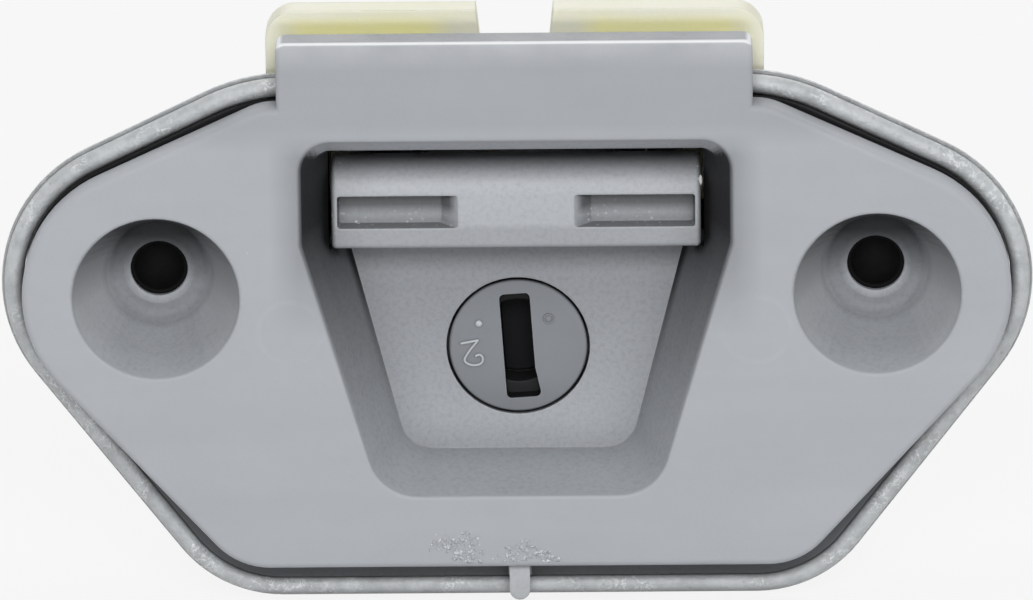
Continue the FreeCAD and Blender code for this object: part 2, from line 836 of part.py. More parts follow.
def cam_outline():
    """Points of the cam's outline: two equal lobes that rise evenly over the cam's turn."""
    points = []
    rise_per_degree = cam_travel / cam_turn
    top = cam_rest_radius + cam_travel
    half = 180
    for degree in range(0, half, 6):
        if degree <= cam_turn:
            radius = cam_rest_radius + rise_per_degree * degree
        elif degree <= cam_turn + cam_dwell:
            radius = top
        elif degree <= half - 3 * cam_dwell:
            share = (degree - cam_turn - cam_dwell) / (half - 4 * cam_dwell - cam_turn)
            radius = top + (cam_base_radius - top) * (1 - math.cos(math.pi * share)) / 2
        elif degree <= half - cam_dwell:
            share = (degree - (half - 3 * cam_dwell)) / (2 * cam_dwell)
            radius = cam_base_radius + (cam_rest_radius - cam_base_radius) * share
        else:
            radius = cam_rest_radius
        points.append((degree, radius))
    return points + [(degree + half, radius) for degree, radius in points]


def make_rotor_cam():
    """Two-lobed cam on the rotor's tail; its lobes push the switch plungers outwards."""
    points = [
        Vector(radius * math.cos(math.radians(degree)), cam_front,
               disc_height + radius * math.sin(math.radians(degree)))
        for degree, radius in cam_outline()
    ]
    curve = Part.BSplineCurve()
    curve.interpolate(Points=points, PeriodicFlag=True)
    cam = prism(Part.Wire([curve.toShape()]), cam_thickness)
    bore = along_y(tail_radius + tail_fit, cam_front, cam_rear, 0, disc_height)
    for side in (-1, 1):
        inner = tail_flat + tail_fit
        bore = bore.cut(block(
            min(side * inner, side * 2 * tail_radius), max(side * inner, side * 2 * tail_radius),
            cam_front, cam_rear, disc_height - 2 * tail_radius, disc_height + 2 * tail_radius))
    return cam.cut(bore)


def make_rotor_clip():
    """Retaining ring behind the cam."""
    ring = open_ring(
        tail_radius - clip_groove + tail_fit, tail_radius + clip_reach,
        clip_thickness - 2 * tail_fit, rotor_clip_opening)
    ring.rotate(Vector(0, 0, 0), Vector(1, 0, 0), -90)
    ring.translate(Vector(0, clip_front + tail_fit, disc_height))
    return ring


def make_rotor_spring():
    """Torsion spring round the hub, one leg against a post on the bearing and one free."""
    mean_radius = hub_radius + turn_spring_gap + turn_spring_wire_radius
    edges = coil_edges(mean_radius, turn_spring_pitch, turn_spring_turns, 0.0)
    first, last = edges[0], edges[-1]
    head = first.valueAt(first.FirstParameter)
    tail = last.valueAt(last.LastParameter)
    lead_in = Part.makeLine(head - first.tangentAt(first.FirstParameter) * turn_spring_leg, head)
    lead_out = Part.makeLine(tail, tail + last.tangentAt(last.LastParameter) * turn_spring_leg)
    gap = least_gap(edges, turn_spring_wire_radius, mean_radius)
    print("least gap in the rotor spring", round(gap, 3))
    spring = wire_form([lead_in] + edges + [lead_out], turn_spring_wire_radius)
    spring.rotate(Vector(0, 0, 0), Vector(1, 0, 0), -90)
    spring.translate(Vector(0, bearing_rear + running_gap / 2 + turn_spring_wire_radius, disc_height))
    return spring


def lid_screw_places():
    """The four places (x, z) where the lid is screwed to the housing."""
    places = []
    for side in (-1, 1):
        places.append((side * lid_screw_top[0], lid_screw_top[1]))
        places.append((side * lid_screw_bottom[0], lid_screw_bottom[1]))
    return places


def box_shape(inset, start, end):
    """The housing's box, or with an inset the space inside it, from start to end along Y."""
    top = box_top - inset
    rear_top = box_rear_top - inset
    profile = [
        (start, box_bottom + inset),
        (end, box_bottom + inset),
        (end, rear_top),
        (box_rear - box_slope_length, top),
        (start, top),
    ]
    half = box_half_width - inset
    points = [Vector(-half, y, z) for y, z in profile]
    solid = Part.Face(Part.makePolygon(points + points[:1])).extrude(Vector(2 * half, 0, 0))
    long_edges = [
        edge for edge in solid.Edges
        if edge.BoundBox.YLength > box_slope_length and edge.BoundBox.ZLength < same
        and edge.BoundBox.XLength < same
    ]
    return solid.makeFillet(box_corner_radius - inset / 2, long_edges)


def make_flange():
    """The housing's front flange: two humps with a notch between them, and ears for the screws."""
    corners = [
        (flange_half_width, flange_bottom, flange_corner_radius),
        (flange_half_width, flange_top, flange_corner_radius),
    ]
    corners += [(-x, z, r) for x, z, r in reversed(corners)]
    plate = prism(rounded_wire(corners, flange_front), flange_thickness)
    ears = symmetric_circles(
        (cover_screw_bottom[0], cover_screw_bottom[1], flange_ear_radius),
        (cover_screw_top[0], cover_screw_top[1], flange_ear_radius))
    plate = plate.fuse(prism(hull_wire(ears, flange_front), flange_thickness)).removeSplitter()
    notch = [
        (notch_bottom_half_width, notch_bottom, notch_bottom_radius),
        (notch_top_half_width, flange_top + overshoot, notch_top_radius),
    ]
    notch += [(-x, z, r) for x, z, r in reversed(notch)]
    return plate.cut(prism(rounded_wire(notch, flange_front), flange_thickness))


def make_tower(side):
    """One spring tower's outer shape and its chamber."""
    half = spring_room + tower_wall
    outer = block(
        side * spring_x - half, side * spring_x + half, flange_rear - tower_wall, spring_y + half,
        box_top - tower_ceiling, tower_top)
    chamber = along_z(
        spring_room, box_top - 2 * tower_ceiling, tower_ceiling_z, side * spring_x, spring_y)
    peg = along_z(peg_radius, tower_ceiling_z - peg_height, tower_ceiling_z, side * spring_x, spring_y)
    return outer, chamber.cut(peg)


def make_rear_housing():
    """Ivory moulding behind the panel: flange, box, spring towers, pin bosses and lid bosses."""
    towers = [make_tower(side) for side in (-1, 1)]
    shell = make_flange().fuse(box_shape(0.0, flange_rear - box_wall, box_rear))
    shell = shell.multiFuse([outer for outer, _ in towers])
    for step in (-1, 0, 1):
        centre = step * box_rib_spacing
        half = rib_thickness / 2
        shell = shell.fuse(block(
            centre - half, centre + half, flange_rear - overlap, box_rear,
            box_bottom - box_rib_height, box_bottom + overlap))
        for side in (-1, 1):
            near, far = side * (box_half_width - overlap), side * (box_half_width + box_rib_height)
            shell = shell.fuse(block(
                min(near, far), max(near, far), flange_rear - overlap, box_rear,
                centre + box_rib_height - half, centre + box_rib_height + half))
    shell = shell.cut(box_shape(box_wall, flange_rear, box_rear))
    for _, chamber in towers:
        shell = shell.cut(chamber)
    shell = shell.cut(pocket_solid(pocket_wall + pocket_clearance, 0.0, pocket_wall + pocket_clearance))
    opening = box_half_width - box_wall
    shell = shell.cut(block(-opening, opening, flange_front, flange_rear, floor_knee, opening_top))
    inner = barrel_half_width + pin_boss_gap
    for side in (-1, 1):
        near, far = side * inner, side * (box_half_width - box_wall / 2)
        shell = shell.fuse(along_x(pin_boss_radius, min(near, far), max(near, far), pivot_y, pivot_height))
    for x, z in lid_screw_places():
        boss = along_y(lid_boss_radius, box_rear - lid_boss_depth, box_rear, x, z)
        shell = shell.fuse(boss.common(box_shape(box_wall / 2, flange_rear, box_rear)))
        shell = shell.cut(along_y(
            screw_shank_radius + screw_fit, box_rear + lid_thickness - screw_length - screw_fit,
            box_rear, x, z))
    for x, z in cover_screw_places():
        shell = shell.cut(along_y(
            screw_shank_radius + screw_hole_clearance, flange_front, flange_rear, x, z))
    bore_reach = box_half_width + 2 * box_rib_height
    shell = shell.cut(along_x(
        pin_radius + pin_seat_clearance, -bore_reach, bore_reach, pivot_y, pivot_height))
    for side in (-1, 1):
        shell = shell.cut(pin_pad(side))
        shell = shell.cut(terminal_slot(side))
    return shell.removeSplitter()


def pin_pad(side):
    """The space in the side's ribs round one end of the pin."""
    near, far = side * box_half_width, side * (box_half_width + 2 * box_rib_height)
    radius = pin_head_radius + pin_head_room
    return along_x(radius, min(near, far), max(near, far), pivot_y, pivot_height)


def terminal_slot(side):
    """The way out for one switch's terminals, open at the rear so the lid can slide in."""
    near, far = side * (box_half_width - 2 * box_wall), side * (box_half_width + 2 * box_rib_height)
    half = terminal_thickness / 2 + terminal_slot_margin
    first_blade = switch_front + switch_length / 2 - terminal_spacing
    start = first_blade - terminal_width / 2 - terminal_slot_margin
    return block(
        min(near, far), max(near, far), start, box_rear, disc_height - half, disc_height + half)


def make_rear_lid():
    """Grey lid that closes the box, with a spigot and two shelves whose pegs carry the switches."""
    inner_bottom = box_bottom + box_wall + lid_fit
    inner_top = box_rear_top - box_wall - lid_fit
    inner_half = box_half_width - box_wall - lid_fit
    corners = [
        (box_half_width, box_bottom, box_corner_radius),
        (box_half_width, box_rear_top, lid_top_corner_radius),
    ]
    corners += [(-x, z, r) for x, z, r in reversed(corners)]
    lid = prism(rounded_wire(corners, box_rear), lid_thickness)
    spigot = [
        (inner_half, inner_bottom, spigot_bottom_radius),
        (inner_half, inner_top - lid_spigot_drop, spigot_corner_radius),
    ]
    spigot += [(-x, z, r) for x, z, r in reversed(spigot)]
    ring = prism(rounded_wire(spigot, box_rear - lid_spigot), lid_spigot)
    core_half = inner_half - lid_spigot_wall
    core = [
        (core_half, inner_bottom + lid_spigot_wall, spigot_corner_radius),
        (core_half, inner_top - lid_spigot_drop - lid_spigot_wall, spigot_corner_radius),
    ]
    core += [(-x, z, r) for x, z, r in reversed(core)]
    ring = ring.cut(prism(rounded_wire(core, box_rear - lid_spigot), lid_spigot))
    for x, z in lid_screw_places():
        ring = ring.cut(along_y(
            lid_boss_radius + lid_fit, box_rear - lid_spigot, box_rear, x, z))
    lid = lid.fuse(ring)
    shelf_top = switch_low - shelf_fit
    for side in (-1, 1):
        near = side * (switch_inner_x - shelf_margin)
        far = side * (switch_outer_x + shelf_margin)
        lid = lid.fuse(block(
            min(near, far), max(near, far), switch_front + running_gap, box_rear + overlap,
            shelf_top - shelf_thickness, shelf_top))
        for place in switch_hole_places:
            lid = lid.fuse(along_z(
                switch_hole_radius - peg_fit, shelf_top - overlap, switch_high + peg_overhang,
                side * switch_hole_x, switch_front + place))
    for x, z in lid_screw_places():
        lid = lid.cut(along_y(
            screw_shank_radius + screw_hole_clearance, box_rear - lid_spigot, box_rear + lid_thickness,
            x, z))
    grip = block(
        -box_rib_spacing, box_rib_spacing, box_rear + lid_thickness - overlap,
        box_rear + lid_thickness + box_rib_height, -rib_thickness / 2, rib_thickness / 2)
    return lid.fuse(grip).removeSplitter()


def make_switch_case():
    """Right-hand switch body, open on its upper side, with peg bosses inside."""
    split = switch_high - switch_lid_thickness
    case = block(switch_inner_x, switch_outer_x, switch_front, switch_rear, switch_low, split)
    case = case.makeFillet(switch_edge_radius, [
        edge for edge in case.Edges
        if edge.BoundBox.ZLength > switch_wall
    ])
    cavity = block(
        switch_inner_x + switch_wall, switch_outer_x - switch_wall, switch_front + switch_wall,
        switch_rear - switch_wall, switch_low + switch_wall, split)
    case = case.cut(cavity)
    for place in switch_hole_places:
        y = switch_front + place
        case = case.fuse(along_z(
            switch_hole_radius + switch_hole_wall, switch_low + switch_wall / 2, split, switch_hole_x, y))
        case = case.cut(along_z(
            switch_hole_radius, switch_low - overshoot, split + overshoot, switch_hole_x, y))
    case = case.cut(along_x(
        plunger_radius + plunger_clearance, switch_inner_x - overshoot,
        switch_inner_x + switch_wall + running_gap, plunger_y, disc_height))
    for blade in terminal_blades(False):
        case = case.cut(blade)
    return case.removeSplitter()


def make_switch_cover():
    """Right-hand switch's thin cover."""
    split = switch_high - switch_lid_thickness
    cover = block(switch_inner_x, switch_outer_x, switch_front, switch_rear, split, switch_high)
    cover = cover.makeFillet(switch_edge_radius, [
        edge for edge in cover.Edges
        if edge.BoundBox.ZMin > switch_high - same
    ])
    for place in switch_hole_places:
        cover = cover.cut(along_z(
            switch_hole_radius, split - overshoot, switch_high + overshoot,
            switch_hole_x, switch_front + place))
    return cover


def make_switch_plunger():
    """Right-hand switch's round-tipped plunger with its collar and stem."""
    tip = cam_rest_radius + plunger_gap
    collar = switch_inner_x + switch_wall + plunger_gap / 2
    body = along_x(plunger_radius, tip + plunger_radius, collar + plunger_stem, plunger_y, disc_height)
    dome = Part.makeSphere(plunger_radius, Vector(tip + plunger_radius, plunger_y, disc_height))
    ring = along_x(
        plunger_collar_radius, collar, collar + plunger_collar_thickness, plunger_y, disc_height)
    return body.fuse(dome).fuse(ring).removeSplitter()


def terminal_blades(pierced=True):
    """The right-hand switch's three terminal blades."""
    blades = []
    for step in (-1, 0, 1):
        y = switch_front + switch_length / 2 + step * terminal_spacing
        blade = block(
            switch_outer_x - switch_wall - terminal_root, switch_outer_x + terminal_reach,
            y - terminal_width / 2, y + terminal_width / 2,
            disc_height - terminal_thickness / 2, disc_height + terminal_thickness / 2)
        if pierced:
            tip = [
                edge for edge in blade.Edges
                if edge.BoundBox.XMin > switch_outer_x + terminal_reach - same
                and edge.BoundBox.ZLength > terminal_thickness / 2
            ]
            blade = blade.makeChamfer(terminal_chamfer, tip)
            blade = blade.cut(along_z(
                terminal_hole_radius, disc_height - overshoot, disc_height + overshoot,
                switch_outer_x + terminal_reach - terminal_hole_inset, y))
        blades.append(blade)
    return blades


def make_screw(x, seat_y, z):
    """A pan-headed screw seated at seat_y, pointing to the front."""
    head = along_y(screw_head_radius, seat_y, seat_y + screw_head_height, x, z)
    crown = [edge for edge in head.Edges if edge.BoundBox.YMin > seat_y + screw_head_height - same]
    head = head.makeFillet(screw_head_height / 3, crown)
    shank = along_y(screw_shank_radius, seat_y - screw_length, seat_y, x, z)
    screw = head.fuse(shank)
    bottom = seat_y + screw_head_height - screw_slot_depth
    for turn in (0, 90):
        slot = block(
            -screw_slot_reach, screw_slot_reach, bottom, seat_y + screw_head_height,
            -screw_slot_width / 2, screw_slot_width / 2)
        slot.rotate(Vector(0, 0, 0), Vector(0, 1, 0), turn)
        slot.translate(Vector(x, 0, z))
        screw = screw.cut(slot)
    return screw


def make_screws(places, seat_y):
    """One screw at each place."""
    return Part.makeCompound([make_screw(x, seat_y, z) for x, z in places])


if __name__ == "__main__":
    os.makedirs("parts", exist_ok=True)
    save("front_cover", make_front_cover())
    save("seal_cord", make_seal_cord())
    save("latch_bar", make_latch_bar())
    save("latch_pivot_pin", make_pivot_pin())
    save("pivot_pin_clip", make_pin_clip())
    save("latch_spring_left", make_latch_spring(-1))
    save("latch_spring_right", make_latch_spring(1))
    save("key_rotor", make_key_rotor())
    save("rotor_cam", make_rotor_cam())
    save("rotor_clip", make_rotor_clip())
    save("rotor_return_spring", make_rotor_spring())
    save("rear_housing", make_rear_housing())
    save("rear_lid", make_rear_lid())
    save("cover_screws", make_screws(cover_screw_places(), flange_rear))
    save("lid_screws", make_screws(lid_screw_places(), box_rear + lid_thickness))
    switch_pieces = {
        "switch_case": make_switch_case(),
        "switch_cover": make_switch_cover(),
        "switch_plunger": make_switch_plunger(),
        "switch_terminals": Part.makeCompound(terminal_blades()),
    }
    for name, shape in switch_pieces.items():
        save(f"right_{name}", shape)
        save(f"left_{name}", mirrored(shape))
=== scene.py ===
import math
import random

import bmesh
import bpy
from mathutils import Matrix, Vector


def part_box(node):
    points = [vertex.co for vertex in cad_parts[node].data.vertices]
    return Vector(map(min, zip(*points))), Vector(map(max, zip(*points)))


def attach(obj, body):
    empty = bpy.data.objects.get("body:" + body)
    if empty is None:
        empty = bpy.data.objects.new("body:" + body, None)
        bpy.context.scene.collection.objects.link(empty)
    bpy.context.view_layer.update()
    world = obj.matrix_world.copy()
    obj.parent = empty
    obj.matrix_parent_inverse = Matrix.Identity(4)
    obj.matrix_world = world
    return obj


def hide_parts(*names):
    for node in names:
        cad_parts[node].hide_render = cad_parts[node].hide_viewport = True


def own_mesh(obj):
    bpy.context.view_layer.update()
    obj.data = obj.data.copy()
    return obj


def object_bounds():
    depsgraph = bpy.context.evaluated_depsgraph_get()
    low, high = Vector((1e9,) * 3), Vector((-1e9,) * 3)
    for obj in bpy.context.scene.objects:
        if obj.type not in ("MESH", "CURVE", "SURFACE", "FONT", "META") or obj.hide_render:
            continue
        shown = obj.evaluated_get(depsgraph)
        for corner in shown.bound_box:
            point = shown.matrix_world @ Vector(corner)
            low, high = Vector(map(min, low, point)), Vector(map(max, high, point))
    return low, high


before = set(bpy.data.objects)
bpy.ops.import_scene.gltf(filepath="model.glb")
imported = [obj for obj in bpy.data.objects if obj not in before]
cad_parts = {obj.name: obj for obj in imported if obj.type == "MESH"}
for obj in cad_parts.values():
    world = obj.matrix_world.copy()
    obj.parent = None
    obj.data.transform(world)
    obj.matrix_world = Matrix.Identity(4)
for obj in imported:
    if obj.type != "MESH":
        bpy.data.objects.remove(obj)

lowest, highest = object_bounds()

# The view of the photograph. It was taken from a long way off, a little above the latch and
# almost straight on, so the front face shows at nearly one scale all over.
front_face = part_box("front_cover")[0].y
photo_width = 1033
pixels_per_mm = 10.317
camera_distance = 1.2
camera_elevation = math.radians(18.0)
camera_azimuth = math.radians(0.7)
camera_roll = math.radians(0.66)
middle_height = -0.00032
aim = Vector((0.0, front_face, middle_height))
backwards = Vector((
    math.sin(camera_azimuth) * math.cos(camera_elevation),
    -math.cos(camera_azimuth) * math.cos(camera_elevation),
    math.sin(camera_elevation),
))
camera_data = bpy.data.cameras.new("photo_camera")
camera_data.sensor_width = 36.0
camera_data.lens = camera_data.sensor_width * camera_distance * 1000 * pixels_per_mm / photo_width
camera_data.clip_start = 0.05
camera_data.clip_end = 20.0
camera = bpy.data.objects.new("photo_camera", camera_data)
bpy.context.scene.collection.objects.link(camera)
camera.rotation_mode = "QUATERNION"
camera.location = aim + backwards * camera_distance
level = (-backwards).to_track_quat("-Z", "Y")
camera.rotation_quaternion = level @ Matrix.Rotation(-camera_roll, 4, "Z").to_quaternion()
bpy.context.scene.camera = camera
bpy.context.scene.view_settings.view_transform = "Standard"

# The floor and the light. A broad lamp hangs high in front, where it leaves the pocket and the
# cups in soft shade, and weaker ones fill in. The floor and the room look almost white to the
# camera and in reflections, but the room lights the latch only faintly.
floor_drop = 0.0005
floor_reach = 3.0
floor_glow = 0.85
room_light = 0.05


class Value:
    """One socket of a finish's nodes, which adds Math nodes where it is used in a sum."""

    def __init__(self, finish, socket):
        self.finish = finish
        self.socket = socket

    def math(self, operation, *values):
        return self.finish.node(
            "ShaderNodeMath", {"operation": operation}, dict(enumerate(values)))

    def __add__(self, other):
        return self.math("ADD", self, other)

    def __mul__(self, other):
        return self.math("MULTIPLY", self, other)

    def __rmul__(self, other):
        return self.math("MULTIPLY", self, other)

    def __sub__(self, other):
        return self.math("SUBTRACT", self, other)

    def __rsub__(self, other):
        return self.math("SUBTRACT", other, self)

    def __pow__(self, other):
        return self.math("POWER", self, other)

    def __abs__(self):
        return self.math("ABSOLUTE", self)

    def above(self, low, high):
        """0 below low and 1 above high, with an even rise between them."""
        settings = {"clamp": True}
        inputs = {"Value": self, "From Min": low, "From Max": high}
        return self.finish.node("ShaderNodeMapRange", settings, inputs)

    def below(self, low, high):
        """1 below low and 0 above high, with an even fall between them."""
        return 1.0 - self.above(low, high)


class Finish:
    """A material with one Principled shader, whose base colour is built up tint by tint."""

    def __init__(self, name, colour, **shader):
        self.material = bpy.data.materials.new(name)
        self.material.use_nodes = True
        self.tree = self.material.node_tree
        self.tree.nodes.clear()
        self.shader = self.node("ShaderNodeBsdfPrincipled", {}, shader, whole=True)
        self.output = self.node("ShaderNodeOutputMaterial", {}, {}, whole=True)
        self.tree.links.new(self.shader.outputs[0], self.output.inputs["Surface"])
        self.colour = colour
        self.set("Base Color", colour)

    def node(self, kind, settings, inputs, out=0, whole=False):
        """Adds a node: its settings first, then the values or links of its sockets."""
        made = self.tree.nodes.new(kind)
        for name, value in settings.items():
            setattr(made, name, value)
        for name, value in inputs.items():
            self.feed(made.inputs[name], value)
        return made if whole else Value(self, made.outputs[out])

    def feed(self, socket, value):
        if isinstance(value, Value):
            self.tree.links.new(value.socket, socket)
        elif isinstance(value, tuple) and len(value) == 3 and socket.type == "RGBA":
            socket.default_value = (*value, 1.0)
        else:
            socket.default_value = value

    def set(self, name, value):
        self.feed(self.shader.inputs[name], value)

    def tint(self, amount, colour, strength=1.0):
        """Blends the base colour towards another one, by amount and at most by strength."""
        if strength < 1.0:
            amount = amount * strength
        self.colour = self.blend(amount, self.colour, colour)
        self.set("Base Color", self.colour)

    def place(self, stretch=(1.0, 1.0, 1.0), turn=(0.0, 0.0, 0.0)):
        """The object's own coordinates, in metres, turned and stretched."""
        here = self.node("ShaderNodeTexCoord", {}, {}, out="Object")
        inputs = {"Vector": here, "Scale": stretch, "Rotation": turn}
        return self.node("ShaderNodeMapping", {}, inputs)

    def noise(self, size, detail=3.0, roughness=0.5, **where):
        """Noise whose blotches are about size metres across."""
        inputs = {"Scale": 1.0 / size, "Detail": detail, "Roughness": roughness}
        return self.node("ShaderNodeTexNoise", {}, {"Vector": self.place(**where), **inputs})

    def specks(self, size, spread, **where):
        """1 on small round specks, spread metres apart, and 0 between them."""
        inputs = {"Vector": self.place(**where), "Scale": 1.0 / spread}
        distance = self.node("ShaderNodeTexVoronoi", {"feature": "F1"}, inputs)
        return distance.below(size / spread * 0.5, size / spread)

    def along(self, axis):
        """The coordinate along X, Y or Z, in metres."""
        split = self.node("ShaderNodeSeparateXYZ", {}, {"Vector": self.place()}, whole=True)
        return Value(self, split.outputs[axis])

    def facing(self, axis):
        """1 on a face that looks along X, Y or Z, -1 on one that looks the other way."""
        normal = self.node("ShaderNodeNewGeometry", {}, {}, out="True Normal")
        split = self.node("ShaderNodeSeparateXYZ", {}, {"Vector": normal}, whole=True)
        return Value(self, split.outputs[axis])

    def blend(self, amount, first, second):
        """A colour between two colours. The Mix node takes them at its sockets 6 and 7."""
        inputs = {0: amount, 6: first, 7: second}
        return self.node("ShaderNodeMix", {"data_type": "RGBA"}, inputs, out=2)

    def dress(self, *pieces):
        """Gives the pieces this finish alone."""
        for piece in pieces:
            piece.data.materials.clear()
            piece.data.materials.append(self.material)


def screen_colour(red, green, blue):
    """A colour written as it shows on a screen, from 0 to 255, as the shader's own numbers."""
    shares = [channel / 255.0 for channel in (red, green, blue)]
    return tuple(
        share / 12.92 if share <= 0.04045 else ((share + 0.055) / 1.055) ** 2.4
        for share in shares
    )


def shaded(colour, share):
    """The colour darkened to a share of its brightness."""
    return tuple(channel * share for channel in colour)


def new_piece(name, bm):
    """A mesh object of the given name, from a bmesh that has its place already."""
    mesh = bpy.data.meshes.new(name)
    bm.to_mesh(mesh)
    bm.free()
    piece = bpy.data.objects.new(name, mesh)
    bpy.context.scene.collection.objects.link(piece)
    return piece


floor_shape = bmesh.new()
bmesh.ops.create_grid(floor_shape, x_segments=1, y_segments=1, size=floor_reach)
bmesh.ops.translate(floor_shape, verts=floor_shape.verts, vec=(0.0, 0.0, lowest.z - floor_drop))
floor = new_piece("floor", floor_shape)
floor_finish = Finish("pale_floor", screen_colour(205, 205, 205), Roughness=0.9)
floor_finish.set("Specular IOR Level", 0.1)
floor_finish.tint(floor_finish.noise(0.05, detail=2.0), screen_colour(202, 202, 203))
light_path = floor_finish.node("ShaderNodeLightPath", {}, {}, whole=True)
seen = Value(floor_finish, light_path.outputs["Is Camera Ray"])
seen += Value(floor_finish, light_path.outputs["Is Glossy Ray"])
seen += Value(floor_finish, light_path.outputs["Is Transmission Ray"])
seen_white = floor_finish.node("ShaderNodeEmission", {}, {"Strength": 1.0}, whole=True)
floor_mix = floor_finish.node("ShaderNodeMixShader", {}, {0: seen * floor_glow}, whole=True)
floor_finish.tree.links.new(floor_finish.shader.outputs[0], floor_mix.inputs[1])
floor_finish.tree.links.new(seen_white.outputs[0], floor_mix.inputs[2])
floor_finish.tree.links.new(floor_mix.outputs[0], floor_finish.output.inputs["Surface"])
floor_finish.dress(floor)


def add_lamp(name, place, width, height, power):
    """A rectangular soft lamp that points at the latch."""
    data = bpy.data.lights.new(name, "AREA")
    data.shape = "RECTANGLE"
    data.size = width
    data.size_y = height
    data.energy = power
    lamp = bpy.data.objects.new(name, data)
    bpy.context.scene.collection.objects.link(lamp)
    lamp.location = place
    lamp.rotation_mode = "QUATERNION"
    lamp.rotation_quaternion = (-Vector(place)).to_track_quat("-Z", "Y")


add_lamp("key_softbox", (0.06, -1.12, 0.7), width=0.8, height=0.4, power=10.0)
add_lamp("front_softbox", (0.05, -1.35, 0.08), width=0.5, height=0.2, power=3.8)
add_lamp("top_softbox", (0.0, -0.15, 1.2), width=0.9, height=0.5, power=3.2)
add_lamp("back_softbox", (0.0, 1.1, 0.8), width=1.2, height=0.5, power=8.0)
add_lamp("left_softbox", (-1.2, 0.45, 0.3), width=0.4, height=0.6, power=4.0)
add_lamp("right_softbox", (1.2, 0.45, 0.3), width=0.4, height=0.6, power=4.0)

world = bpy.data.worlds.new("studio")
bpy.context.scene.world = world
world.use_nodes = True
world_tree = world.node_tree
room = world_tree.nodes["Background"]
room.inputs["Color"].default_value = (1.0, 1.0, 1.0, 1.0)
room.inputs["Strength"].default_value = room_light
world_path = world_tree.nodes.new("ShaderNodeLightPath")
room_white = world_tree.nodes.new("ShaderNodeBackground")
room_white.inputs["Color"].default_value = (1.0, 1.0, 1.0, 1.0)
room_choice = world_tree.nodes.new("ShaderNodeMixShader")
seen_either = world_path.outputs["Is Camera Ray"]
for kind in ("Is Glossy Ray", "Is Transmission Ray"):
    total = world_tree.nodes.new("ShaderNodeMath")
    total.operation = "ADD"
    world_tree.links.new(seen_either, total.inputs[0])
    world_tree.links.new(world_path.outputs[kind], total.inputs[1])
    seen_either = total.outputs[0]
world_tree.links.new(seen_either, room_choice.inputs[0])
world_tree.links.new(room.outputs[0], room_choice.inputs[1])
world_tree.links.new(room_white.outputs[0], room_choice.inputs[2])
world_tree.links.new(room_choice.outputs[0], world_tree.nodes["World Output"].inputs["Surface"])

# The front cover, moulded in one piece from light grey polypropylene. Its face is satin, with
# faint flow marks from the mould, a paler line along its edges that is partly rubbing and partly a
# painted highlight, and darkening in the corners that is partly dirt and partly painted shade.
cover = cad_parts["front_cover"]
cover_grey = screen_colour(179, 182, 187)
worn_and_lit_grey = screen_colour(214, 216, 219)
crest_highlight_white = screen_colour(244, 245, 246)
cover_wall = 0.002
cover_pins = [(x, z) for x in (-0.043, 0.043) for z in (-0.004, 0.004)]
ejector_radius = 0.001
ejector_rim = 0.00005


def openness(finish, reach):
    """1 where nothing stands within reach metres of the surface, and less in a recess."""
    inputs = {"Distance": reach}
    return finish.node("ShaderNodeAmbientOcclusion", {"samples": 8}, inputs, out="AO")


def outer_edges(finish, width):
    """1 on the outer edges, from how far a rounded normal leaves the face's own."""
    rounded = finish.node("ShaderNodeBevel", {"samples": 6}, {"Radius": width})
    flat = finish.node("ShaderNodeNewGeometry", {}, {}, out="True Normal")
    settings = {"operation": "DOT_PRODUCT"}
    likeness = finish.node(
        "ShaderNodeVectorMath", settings, {0: rounded, 1: flat}, out="Value")
    return (1.0 - likeness).above(0.02, 0.3)


def relief(finish, height, distance, soft_edges=0.0):
    """Bumps the surface by height, over edges that look rounded by soft_edges metres."""
    inputs = {"Height": height, "Distance": distance}
    if soft_edges:
        inputs["Normal"] = finish.node("ShaderNodeBevel", {"samples": 6}, {"Radius": soft_edges})
    finish.set("Normal", finish.node("ShaderNodeBump", {}, inputs))


def distance_from(finish, x, z):
    """The distance from the line along Y through x and z, in metres."""
    across = finish.along("X") - x
    up = finish.along("Z") - z
    return (across * across + up * up) ** 0.5


def ring_mark(finish, x, z, radius, width):
    """1 on a thin ring about a line along Y, and 0 off it."""
    return abs(distance_from(finish, x, z) - radius).below(width * 0.5, width)


def moulded_plastic(name, base, worn_and_lit, grain=0.0004, grain_height=0.00003, edge=0.0003,
                    dirt_and_shade_reach=0.009, dirt_and_shade_depth=1.0, dirt_and_shade_left=0.06, gloss=0.0):
    """Satin plastic: flow marks, fine grain, edges pale from wear and painted highlight, flecks, and
    dirt with painted shade in recesses.
    """
    finish = Finish(name, base, Roughness=0.5, IOR=1.46)
    mottle = finish.noise(0.016, detail=4.0, roughness=0.6)
    streaks = finish.noise(0.005, detail=3.0, stretch=(0.25, 1.0, 1.6))
    tone = (mottle * 0.6 + streaks * 0.4).above(0.35, 0.65)
    finish.tint(tone, shaded(base, 0.9), strength=0.6)
    # Dirt and painted shade darken the recesses, most where they are deepest.
    open_air = openness(finish, dirt_and_shade_reach)
    finish.tint(1.0 - open_air ** dirt_and_shade_depth, shaded(base, dirt_and_shade_left))
    # The outer edges turn pale, partly as wear and partly as a painted highlight.
    rubbed_and_lit = outer_edges(finish, edge) * open_air.above(0.5, 0.75)
    rubbed_and_lit *= finish.noise(0.004, detail=3.0).above(0.2, 0.5)
    finish.tint(rubbed_and_lit, worn_and_lit, strength=0.85)
    flecks = finish.specks(0.00013, 0.0035) * finish.noise(0.012).above(0.5, 0.65)
    fleck_pale = tuple(channel * 0.4 + 0.55 for channel in base)
    finish.tint(flecks, fleck_pale, strength=0.8)
    fine = finish.noise(grain, detail=2.0)
    finish.set("Roughness", fine * 0.14 + mottle * 0.1 + 0.38 - gloss)
    relief(finish, fine * 0.7 + streaks * 0.3, grain_height, soft_edges=edge)
    return finish


